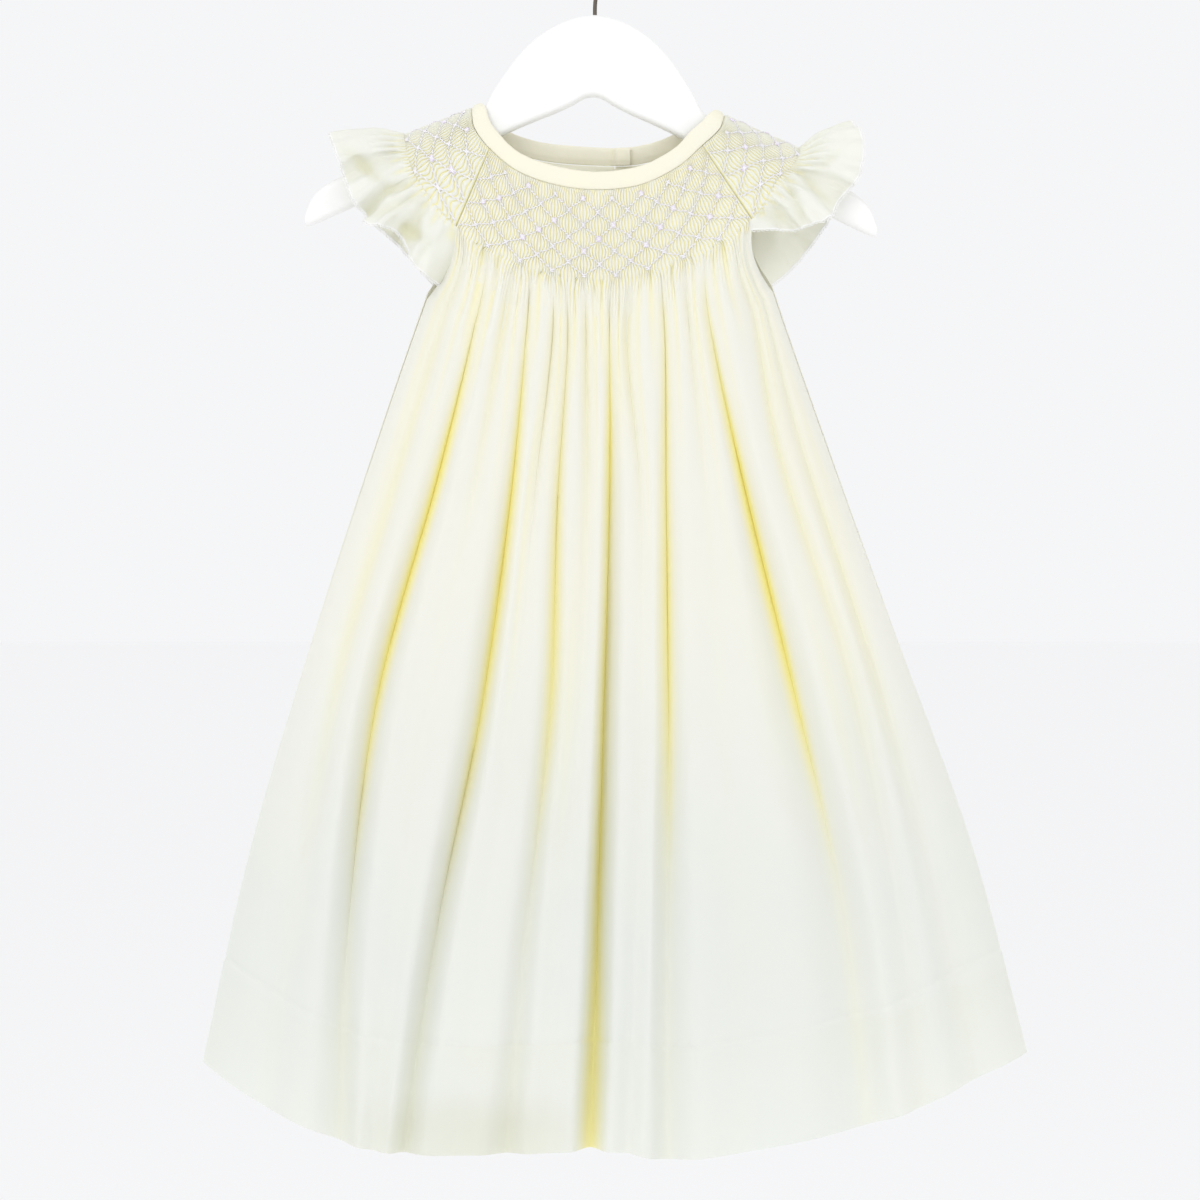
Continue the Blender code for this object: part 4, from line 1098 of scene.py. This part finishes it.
def sleeve(name, spokes, creases, start, end, pleats, offset, seed, sizes, material):
    height = sizes.pleat_height
    thickness = sizes.cloth_thickness
    outer, marks = pleated(start, end, pleats, offset, height)
    inner = lining(start, end, pleats, thickness)
    stations = np.linspace(start, end, pleats * PLEAT_POINTS + 1)
    pleat = pleat_of(stations, start, end, pleats)
    fine = np.linspace(0, len(spokes) - 1, 1500)
    at = np.interp(np.linspace(0, 1, len(stations)),
                   (between(np.array(spokes)[:, 0], fine) - spokes[0][0]) / (spokes[-1][0] - spokes[0][0]), fine)
    out = np.linspace(0.02, 1.0, 44)
    grid = flutter(spokes, at, out)
    fade = (1 - smooth(out / 0.22))[:, None]
    ridge = np.abs(np.sin(pi * pleat)) ** 0.75
    gather = np.sin(pleat * 2.4 + 1.5 * np.sin(pleat * 0.45 + seed))[None]
    calm = smooth(np.minimum(at, len(spokes) - 1 - at) / 1.2)[None]
    soft = 0.0011 * gather * (np.sin(pi * np.clip(out * 1.6 + 0.08, 0, 1)) ** 0.8)[:, None]
    curl = 0.0009 * np.sin(at * 6.3 + seed)[None] * smooth((out - 0.55) / 0.45)[:, None]
    lines = line_creases(grid, creases)
    body = (soft + curl) * (1 - fade) - lines * smooth(out / 0.08)[:, None]
    rise = (height * ridge[None] * fade + body) * calm
    outward = normals(grid)
    skin = grid + outward * (rise + thickness / 2)[..., None]
    back = grid + outward * (body * calm - thickness / 2)[..., None]
    # Painted shade and glow of the sleeve: grey green and yellow where the edge dips back, in the creases and under
    # the gathers.
    mean_y = np.convolve(np.pad(np.abs(grid[-1, :, 1]), 24, mode="edge"), np.ones(49) / 49, "valid")
    dip = np.clip((mean_y - np.abs(grid[-1, :, 1])) / 0.007, 0.0, 1.0)
    hollow = dip[None] * smooth(out / 0.5)[:, None] * 0.8 + np.clip(lines / 0.0022, 0, 1) * 0.7
    gathers = np.clip(-gather, 0, 1) * np.exp(-((out - 0.18) / 0.16) ** 2)[:, None]
    mark = np.maximum(np.clip(1.0 - ridge * 1.15, 0, 1)[None] * fade * PLEAT_GLOW, gathers * 0.35)
    mark = np.maximum(mark, hollow * 0.16)
    shades = np.clip(hollow * 0.85 + gathers * 0.25, 0, 1)
    outer += list(skin)
    marks += list(mark)
    inner += list(back)
    piece = cloth(name, outer, inner, marks, material)
    count = len(stations)
    shade = np.zeros(len(piece.data.vertices))
    shade[YOKE_STEPS * count:(YOKE_STEPS + len(out)) * count] = shades.ravel()
    add_marks(piece, hem=0.0, low=0.30, shade=shade)
    edge = (skin[-1] + back[-1]) / 2
    outwards = edge - (skin[-3] + back[-3]) / 2
    outwards /= np.linalg.norm(outwards, axis=1, keepdims=True)
    return piece, edge, outwards


def along(path, pitch):
    """Even steps along a path of points: the fractional index of each."""
    runs = np.linalg.norm(np.diff(path, axis=0), axis=1)
    length = np.concatenate([[0.0], np.cumsum(runs)])
    count = max(int(length[-1] / pitch), 2)
    steps = np.linspace(0, length[-1], count + 1)
    index = np.interp(steps, length, np.arange(len(path)))
    return index


def read_at(rows, index):
    low = np.clip(np.floor(index).astype(int), 0, len(rows) - 2)
    t = (index - low)[:, None]
    return rows[low] * (1 - t) + rows[low + 1] * t


def picot_edge(name, edge, outwards, material):
    """A rolled white edge with a row of tiny loops."""
    pile = Pile()
    index = along(edge, 0.0008)
    path = read_at(edge, index)
    pile.add(*tube(path, 0.00045, 6))
    loops = along(edge, 0.0021)
    places = read_at(edge, loops)
    away = read_at(outwards, loops)
    for number in range(1, len(places) - 1):
        ahead = places[number + 1] - places[number - 1]
        ahead /= np.linalg.norm(ahead)
        arc = [places[number] + ahead * 0.00075 * cos(a) + away[number] * (0.0003 + 0.0011 * sin(a))
               for a in np.linspace(pi, 0, 6)]
        up = np.cross(ahead, away[number])
        pile.add(*tube(arc, 0.00024, 5, up=up))
    return pile.build(name, material)


# Operators

def sizes_of(context):
    return context.scene.dress_sizes


def colours_of(context):
    return context.scene.dress_colours


FRONT_STATIONS = (RAGLAN_FRONT_LEFT + RAGLAN_INSET, RAGLAN_FRONT_RIGHT - RAGLAN_INSET)
SLEEVE_LEFT_STATIONS = (RAGLAN_BACK_LEFT + RAGLAN_INSET, RAGLAN_FRONT_LEFT - RAGLAN_INSET)
SLEEVE_RIGHT_STATIONS = (RAGLAN_FRONT_RIGHT + RAGLAN_INSET, RAGLAN_BACK_RIGHT - RAGLAN_INSET)
BACK_RIGHT_STATIONS = (RAGLAN_BACK_RIGHT + RAGLAN_INSET, RING_COUNT - RAGLAN_INSET)
BACK_LEFT_STATIONS = (RING_COUNT + RAGLAN_INSET, RING_COUNT + RAGLAN_BACK_LEFT - RAGLAN_INSET)


class DRESS_OT_front(bpy.types.Operator):
    """Make the front: its smocking, folds and doubled hem"""
    bl_idname = "dress.front"
    bl_label = "Front"

    def execute(self, context):
        sizes = sizes_of(context)
        piece = panel("front_cloth", FRONT_FOLDS, FRONT_CREASES, -1, FRONT_FULLNESS, FRONT_STATIONS,
                      sizes.front_pleats, 0, (0, len(FRONT_FOLDS) - 1), 96, sizes,
                      cloth_material(colours_of(context)))
        hold(piece, "cloth", "front")
        return {"FINISHED"}


class DRESS_OT_backs(bpy.types.Operator):
    """Make the two halves of the back"""
    bl_idname = "dress.backs"
    bl_label = "Backs"

    def execute(self, context):
        sizes = sizes_of(context)
        last = len(BACK_FOLDS) - 1
        halves = (("back_right_cloth", "back_right", BACK_RIGHT_STATIONS, (0, BACK_MIDDLE_FOLD), 0),
                  ("back_left_cloth", "back_left", BACK_LEFT_STATIONS, (BACK_MIDDLE_FOLD, last), 6))
        for name, node, stations, folds_range, offset in halves:
            piece = panel(name, BACK_FOLDS, BACK_CREASES, 1, BACK_FULLNESS, stations, sizes.back_pleats, offset,
                          folds_range, 80, sizes, cloth_material(colours_of(context)))
            hold(piece, "cloth", node)
        return {"FINISHED"}


class DRESS_OT_sleeves(bpy.types.Operator):
    """Make the flutter sleeves and their white picot edging"""
    bl_idname = "dress.sleeves"
    bl_label = "Sleeves"

    def execute(self, context):
        sizes = sizes_of(context)
        colours = colours_of(context)
        white = material_of("picot", lambda: thread_look("white_picot", colours.picot, (0.86, 0.86, 0.84)))
        sides = (("left", LEFT_SPOKES, LEFT_CREASES, SLEEVE_LEFT_STATIONS, 1.0),
                 ("right", RIGHT_SPOKES, RIGHT_CREASES, SLEEVE_RIGHT_STATIONS, 2.6))
        for side, spokes, creases, (start, end), seed in sides:
            piece, edge, outwards = sleeve(f"sleeve_{side}_cloth", spokes, creases, start, end,
                                           sizes.sleeve_pleats, 0, seed, sizes, cloth_material(colours))
            hold(piece, "cloth", f"sleeve_{side}")
            edging = hold(picot_edge(f"sleeve_{side}_picot", edge, outwards, white), "cloth")
        return {"FINISHED"}


class DRESS_OT_binding(bpy.types.Operator):
    """Make the folded bias binding round the neck"""
    bl_idname = "dress.binding"
    bl_label = "Neck Binding"

    def execute(self, context):
        sizes = sizes_of(context)
        colours = colours_of(context)
        steps = 420
        sides = 20
        stations = np.linspace(-BINDING_LAP, RING_COUNT - RAGLAN_INSET, steps + 1)
        neck = ring_point(NECK, stations)
        up = neck - ring_point(BASE, stations)
        up /= np.linalg.norm(up, axis=1, keepdims=True)
        across = ring_point(NECK, stations + 0.05) - ring_point(NECK, stations - 0.05)
        outward = np.cross(-up, across)
        outward /= np.linalg.norm(outward, axis=1, keepdims=True)
        near = np.minimum(np.abs(stations - SHOULDER_LEFT), np.abs(stations - SHOULDER_RIGHT))
        narrow = smooth(1 - near / 2)
        width = sizes.binding_width + (0.0056 - sizes.binding_width) * narrow
        width = width * (1 + 0.02 * wander(21, stations * 3.0))
        middle = neck + up * (0.0003 + width / 2)[:, None]
        angle = 2 * pi * (np.arange(sides) + 0.5) / sides
        tucked = 1 - smooth((stations + 0.02) / 0.06)
        middle = middle - outward * (tucked * BINDING_TUCK)[:, None]
        pull = 1 + 0.16 * wander(22, stations * 9.0)[:, None] * (0.5 - 0.5 * np.cos(angle))[None]
        pull = pull + 0.08 * wander(24, stations * 2.2)[:, None] * np.abs(np.sin(angle))[None]
        reach = np.sign(np.cos(angle)) * np.abs(np.cos(angle)) ** 0.8
        swell = np.sign(np.sin(angle)) * np.abs(np.sin(angle)) ** 0.75
        ditch = 1 - 0.38 * np.exp(-((reach + 0.72) / 0.12) ** 2)
        loops = (middle[:, None] + up[:, None] * (reach[None] * width[:, None] / 2)[..., None]
                 + outward[:, None] * (swell * ditch * 0.00125 * pull)[..., None])
        points = loops.reshape(-1, 3)
        faces = []
        for ring in range(steps):
            one = ring * sides
            for corner in range(sides):
                after = (corner + 1) % sides
                faces.append([one + corner, one + sides + corner, one + sides + after, one + after])
        faces.append(list(range(sides)))
        faces.append(list(range(steps * sides, (steps + 1) * sides))[::-1])
        cream = material_of("binding", lambda: plain_cotton("cream_binding", colours.binding, (0.95, 0.90, 0.66)))
        piece = hold(finish_mesh("neck_binding_cloth", points, faces, cream), "binding", "neck_binding")
        return {"FINISHED"}


def surface_spot(stations, downs, lift):
    """Places on the smocking, one for each pair of station and height, and their outward directions."""
    neck = ring_point(NECK, stations)
    base = ring_point(BASE, stations)
    place = neck + (base - neck) * downs[:, None]
    step = 0.02
    across = (ring_point(NECK, stations + step) - ring_point(NECK, stations - step)) * (1 - downs)[:, None]
    across = across + (ring_point(BASE, stations + step) - ring_point(BASE, stations - step)) * downs[:, None]
    outward = np.cross(base - neck, across)
    outward /= np.linalg.norm(outward, axis=1, keepdims=True)
    return place + outward * lift, outward


def stretches(sizes):
    """Each smocked stretch: its stations, its pleats and where it stands in the trellis."""
    return (
        ("front", FRONT_STATIONS, sizes.front_pleats, 0),
        ("sleeve_left", SLEEVE_LEFT_STATIONS, sizes.sleeve_pleats, 0),
        ("sleeve_right", SLEEVE_RIGHT_STATIONS, sizes.sleeve_pleats, 0),
        ("back_right", BACK_RIGHT_STATIONS, sizes.back_pleats, 0),
        ("back_left", BACK_LEFT_STATIONS, sizes.back_pleats, 6),
    )


class DRESS_OT_smocking(bpy.types.Operator):
    """Make the trellis of smocking stitches and its small lilac flowers"""
    bl_idname = "dress.smocking"
    bl_label = "Smocking Stitches"

    def execute(self, context):
        sizes = sizes_of(context)
        colours = colours_of(context)
        white = material_of("thread", lambda: thread_look("white_thread", colours.thread, (0.80, 0.78, 0.84)))
        lilac = material_of("lilac", lambda: thread_look("lilac_thread", colours.lilac, (0.66, 0.54, 0.78)))
        lift = sizes.pleat_height * 0.72
        rows = np.asarray(TRELLIS_ROWS)
        for name, (start, end), pleats, offset in stretches(sizes):
            draw = np.random.default_rng(len(name) * 7 + pleats)
            trellis = Pile()
            flowers = Pile()
            pitch = (end - start) / pleats
            for pleat in range(1, pleats):
                wave = abs(((pleat + offset) / (DIAMOND_PLEATS / 2)) % 2.0 - 1.0)
                ahead_wave = abs(((pleat + 0.5 + offset) / (DIAMOND_PLEATS / 2)) % 2.0 - 1.0)
                behind_wave = abs(((pleat - 0.5 + offset) / (DIAMOND_PLEATS / 2)) % 2.0 - 1.0)
                for band in range(len(rows) - 1):
                    step = rows[band + 1] - rows[band]
                    share = [value if band % 2 else 1 - value for value in (behind_wave, wave, ahead_wave)]
                    slope = (share[2] - share[0]) * step
                    down = rows[band] + step * share[1] + draw.normal(0, 0.003)
                    spots = np.array([-0.55, -0.28, 0.0, 0.28, 0.55])
                    downs = down + slope * spots * 0.45 + spots * 0.006 * (-1) ** pleat
                    drawn = squeeze(pleat + offset + spots, downs) * smooth(min(pleat, pleats - pleat) / 2)
                    stations = start + (pleat + spots + drawn) * pitch
                    path, outward = surface_spot(stations, downs, 0.0)
                    arch = lift + sizes.thread_radius * np.array([-1.2, 0.3, 0.6, 0.3, -1.2])
                    path = path + outward * arch[:, None]
                    radius = sizes.thread_radius * np.array([0.75, 1.0, 1.1, 1.0, 0.75])
                    trellis.add(*tube(path, radius, 5, up=outward[2]))
            self.knots(trellis, start, end, pleats, offset, lift, sizes)
            self.flowers(flowers, start, end, pleats, offset, lift, sizes)
            hold(trellis.build(f"{name}_trellis", white), "cloth")
            hold(flowers.build(f"{name}_flowers", lilac), "cloth")
        return {"FINISHED"}

    def knots(self, pile, start, end, pleats, offset, lift, sizes):
        """Two level stitches, one under the other, on each crossing of the trellis."""
        pitch = (end - start) / pleats
        for row, down in enumerate(TRELLIS_ROWS):
            for pleat in range(2, pleats - 1):
                if (pleat + offset + DIAMOND_PLEATS // 2 * (row % 2)) % DIAMOND_PLEATS:
                    continue
                for fall in (-0.010, 0.010):
                    spots = np.array([-0.62, -0.3, 0.3, 0.62])
                    arch = lift + sizes.thread_radius * np.array([0.2, 1.1, 1.1, 0.2])
                    path, outward = surface_spot(start + (pleat + spots) * pitch, np.full(4, down + fall), 0.0)
                    path = path + outward * arch[:, None]
                    pile.add(*tube(path, sizes.thread_radius * 1.15, 6, up=outward[1]))

    def flowers(self, pile, start, end, pleats, offset, lift, sizes):
        """Small lozenge flowers on every other crossing, of four short stitches each."""
        pitch = (end - start) / pleats
        for row, first in FLOWER_CROSSINGS.items():
            down = TRELLIS_ROWS[row]
            for pleat in range(3, pleats - 2):
                if (pleat + offset - first) % (2 * DIAMOND_PLEATS):
                    continue
                for across, fall in ((-0.8, 0.0), (0.8, 0.0), (0.0, -0.024), (0.0, 0.024)):
                    spots = np.array([0.25, 0.6, 1.0, 1.3])
                    stations = start + (pleat + across * spots) * pitch
                    downs = down + fall * spots
                    if across == 0.0:
                        stations = stations + np.linspace(-0.2, 0.2, 4) * pitch
                    path, outward = surface_spot(stations, downs, lift + FLOWER_LIFT)
                    pile.add(*tube(path, sizes.thread_radius * np.array([0.8, 1.5, 1.5, 0.8]), 6,
                                   up=outward[1]))


class DRESS_OT_closing(bpy.types.Operator):
    """Make the placket under the back slit and its three buttons"""
    bl_idname = "dress.closing"
    bl_label = "Back Closing"

    def execute(self, context):
        sizes = sizes_of(context)
        colours = colours_of(context)
        low, high = (np.array(corner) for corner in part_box("back_placket"))
        rows = 30
        columns = 12
        neck, base = NECK[0], BASE[0]
        length = np.linalg.norm(base - neck)
        drops = np.linspace(0.0012, length * 1.22, rows)
        down = np.clip((drops - length) / (base[2] + 0.6185), 0.0, 1.0)
        below = skirt(BACK_FOLDS, (), 1, BACK_FULLNESS, np.array([float(BACK_MIDDLE_FOLD)]), down)[0][:, 0]
        middle = np.where((drops <= length)[:, None], neck + (base - neck) * (drops / length)[:, None], below)
        side = np.linspace(high[0] - low[0], 0, columns) - (high[0] - low[0]) / 2
        grid = middle[:, None] + np.stack([side, np.zeros(columns), np.zeros(columns)], axis=1)[None]
        grid[..., 1] += -0.0017 + 0.0002 * wander(31, side[None] * 300, drops[:, None] * 90)
        outward = normals(grid)
        # The placket gets a little painted glow and painted shade, as it lies under the slit.
        piece = cloth("placket_cloth", list(grid + outward * 0.00035), list(grid - outward * 0.00035),
                      [np.full(columns, 0.25)] * rows, cloth_material(colours))
        add_marks(piece, hem=0.0, low=0.0, shade=0.3)
        hold(piece, "cloth", "back_placket")
        shine = material_of("pearl", lambda: pearl("pearl_button"))
        for number in (1, 2, 3):
            self.button(f"button_{number}", sizes, shine)
        return {"FINISHED"}

    def button(self, node, sizes, shine):
        """A round four-hole button with a raised rim, in its solid's place."""
        low, high = (Vector(corner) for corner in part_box(node))
        centre = (low + high) / 2
        profile = ((0.0, 0.55), (0.30, 0.55), (0.55, 0.58), (0.66, 0.75), (0.80, 1.0), (0.92, 0.92),
                   (1.0, 0.45), (1.0, -0.35), (0.90, -0.9), (0.45, -1.0), (0.0, -1.0))
        turns = 40
        points = []
        half = 0.0010
        for share, height in profile:
            for turn in range(turns):
                angle = 2 * pi * turn / turns
                points.append((share * sizes.button_radius * cos(angle),
                               share * sizes.button_radius * sin(angle), height * half))
        faces = []
        for ring in range(len(profile) - 1):
            for turn in range(turns):
                after = (turn + 1) % turns
                one, two = ring * turns, (ring + 1) * turns
                faces.append([one + turn, two + turn, two + after, one + after])
        lean = Vector(BASE[0] - NECK[0])
        outward = Vector((0.0, -lean.z, lean.y)).normalized()
        turned = Vector((0, 0, 1)).rotation_difference(outward).to_matrix().to_4x4()
        place = Matrix.Translation(centre) @ turned
        body = finish_mesh(node + "_pearl", [tuple(place @ Vector(p)) for p in points], faces, shine)
        weld = body.modifiers.new("weld", "WELD")
        weld.merge_threshold = 0.00001
        hold(body, "button", node)
        stitches = Pile()
        for across, rise in ((-1, 0), (1, 0)):
            path = [place @ Vector((across * 0.0008, y, half * (0.6 + h))) for y, h in
                    ((-0.0012, -0.3), (-0.0006, 0.25), (0.0006, 0.25), (0.0012, -0.3))]
            stitches.add(*tube(np.array([tuple(p) for p in path]), 0.00022, 6, up=tuple(outward)))
        white = MATERIALS["thread"]
        hold(stitches.build(node + "_thread", white), "cloth")


class DRESS_OT_hanger(bpy.types.Operator):
    """Make the painted wooden hanger and its wire hook"""
    bl_idname = "dress.hanger"
    bl_label = "Hanger"

    def execute(self, context):
        settings = context.scene.hanger_settings
        wood = material_of("wood", lambda: painted_wood("white_painted_wood", settings.paint))
        wire = material_of("wire", lambda: dark_wire("dark_wire", settings.steel))
        self.board(settings, wood)
        self.hook(settings, wire)
        return {"FINISHED"}

    def board(self, settings, wood):
        half = np.array(HANGER_HALF) * MM
        rows = np.vstack([half[:0:-1] * (-1, 1, 1), half])
        at = np.linspace(0, len(rows) - 1, (len(rows) - 1) * 6 + 1)
        rows = between(rows, at)
        corner = np.linspace(0, 90, 9)
        points = []
        for out, top, bottom in rows:
            radius = min(settings.rounding, (top - bottom) / 2)
            flat = settings.thickness / 2 - radius
            for y, z, turn in ((flat, top - radius, 0), (-flat, top - radius, 90),
                               (-flat, bottom + radius, 180), (flat, bottom + radius, 270)):
                for step in corner:
                    angle = radians(turn + step)
                    points.append((out, y + radius * cos(angle), z + radius * sin(angle)))
        sides = 4 * len(corner)
        faces = []
        for ring in range(len(rows) - 1):
            one = ring * sides
            for side in range(sides):
                after = (side + 1) % sides
                faces.append([one + side, one + after, one + sides + after, one + sides + side])
        faces.append(list(range(sides))[::-1])
        faces.append(list(range((len(rows) - 1) * sides, len(rows) * sides)))
        pivot = Vector((0, 0, HANGER_TOP_Z))
        turn = Matrix.Translation(pivot) @ Matrix.Rotation(HANGER_TILT, 4, "Y") @ Matrix.Translation(-pivot)
        board = finish_mesh("hanger_board", [tuple(turn @ Vector(p)) for p in points], faces, wood, None, 50)
        hold(board, "hanger_wood", "hanger_body")

    def hook(self, settings, wire):
        radius = settings.wire_radius
        stem = [(x * MM, 0.0, z * MM) for x, z in HOOK_STEM]
        stem[0] = (0.0, 0.0, HANGER_TOP_Z - 0.0008)
        bend = [(HOOK_RADIUS * cos(a), 0.0, radius - HOOK_RADIUS + HOOK_RADIUS * sin(a))
                for a in np.linspace(HOOK_START, HOOK_END, 40)]
        route = np.array(stem + bend)
        path = between(route, np.linspace(0, len(route) - 1, 240))
        verts, faces = tube(path, radius, 14, up=(0, 1, 0))
        piece = finish_mesh("hanger_wire", verts, faces, wire)
        hold(piece, "hook_steel", "hanger_hook")


class DRESS_OT_stage(bpy.types.Operator):
    """Set the pale floor, the soft light and the camera"""
    bl_idname = "dress.stage"
    bl_label = "Stage"

    def execute(self, context):
        settings = context.scene.stage_settings
        scene = context.scene
        scene.view_settings.view_transform = "Standard"
        self.floor(settings)
        world = bpy.data.worlds.new("even_light")
        world.use_nodes = True
        back = world.node_tree.nodes["Background"]
        back.inputs["Color"].default_value = (0.985, 0.99, 1.0, 1.0)
        back.inputs["Strength"].default_value = settings.sky
        scene.world = world
        centre = Vector((settings.centre_x, 0, settings.centre_z))
        self.lamp("key_light", centre + Vector((-1.1, -1.9, 1.2)), centre, 1.3, settings.key)
        self.lamp("fill_light", centre + Vector((1.5, -1.6, 0.5)), centre, 1.2, settings.key * 0.35)
        lens = bpy.data.cameras.new("picture_camera")
        lens.sensor_width = 36.0
        lens.lens = lens.sensor_width * settings.camera_distance / settings.picture_width
        lens.clip_end = 100.0
        camera = bpy.data.objects.new("picture_camera", lens)
        camera.location = centre + Vector((0, -settings.camera_distance, 0))
        camera.rotation_euler = (radians(90), 0, 0)
        scene.collection.objects.link(camera)
        scene.camera = camera
        return {"FINISHED"}

    def floor(self, settings):
        reach = 60.0
        rings = 24
        points = []
        for ring in range(rings + 1):
            for turn in range(48):
                angle = 2 * pi * turn / 48
                radius = reach * (ring / rings) ** 3
                points.append((radius * cos(angle), radius * sin(angle), -settings.floor_drop))
        faces = []
        for ring in range(1, rings):
            for turn in range(48):
                after = (turn + 1) % 48
                faces.append([ring * 48 + turn, ring * 48 + after, (ring + 1) * 48 + after, (ring + 1) * 48 + turn])
        faces.append(list(range(48, 96))[::-1])
        look = Look("pale_floor")
        speck = look.noise(3.0, 2.0)
        look.set(Base_Color=look.mix(speck * 0.2, (0.985, 0.985, 0.985), (0.965, 0.968, 0.972)), Roughness=0.95)
        floor = finish_mesh("floor", points, faces, look.material)

    def lamp(self, name, place, target, size, power):
        data = bpy.data.lights.new(name, "AREA")
        data.shape = "SQUARE"
        data.size = size
        data.energy = power
        lamp = bpy.data.objects.new(name, data)
        lamp.location = place
        lamp.rotation_euler = (target - place).to_track_quat("-Z", "Y").to_euler()
        bpy.context.scene.collection.objects.link(lamp)


class DRESS_PT_panel(bpy.types.Panel):
    """Lists the pieces of the dress and their settings"""
    bl_label = "Smocked Dress"
    bl_space_type = "VIEW_3D"
    bl_region_type = "UI"
    bl_category = "Dress"

    def draw(self, context):
        scene = context.scene
        for group in (scene.dress_sizes, scene.dress_colours, scene.hanger_settings, scene.stage_settings):
            box = self.layout.box()
            for name in group.__annotations__:
                box.prop(group, name)
        for operator in STEPS:
            self.layout.operator(operator.bl_idname)


STEPS = (DRESS_OT_stage, DRESS_OT_front, DRESS_OT_backs, DRESS_OT_sleeves, DRESS_OT_binding,
         DRESS_OT_smocking, DRESS_OT_closing, DRESS_OT_hanger)
GROUPS = (DressSizes, DressColours, HangerSettings, StageSettings)


def register():
    for item in GROUPS + STEPS + (DRESS_PT_panel,):
        bpy.utils.register_class(item)
    bpy.types.Scene.dress_sizes = PointerProperty(type=DressSizes)
    bpy.types.Scene.dress_colours = PointerProperty(type=DressColours)
    bpy.types.Scene.hanger_settings = PointerProperty(type=HangerSettings)
    bpy.types.Scene.stage_settings = PointerProperty(type=StageSettings)


def unregister():
    for name in ("dress_sizes", "dress_colours", "hanger_settings", "stage_settings"):
        delattr(bpy.types.Scene, name)
    for item in reversed(GROUPS + STEPS + (DRESS_PT_panel,)):
        bpy.utils.unregister_class(item)


def main():
    register()
    for operator in STEPS:
        group, name = operator.bl_idname.split(".")
        getattr(getattr(bpy.ops, group), name)()


if __name__ == "__main__":
    main()
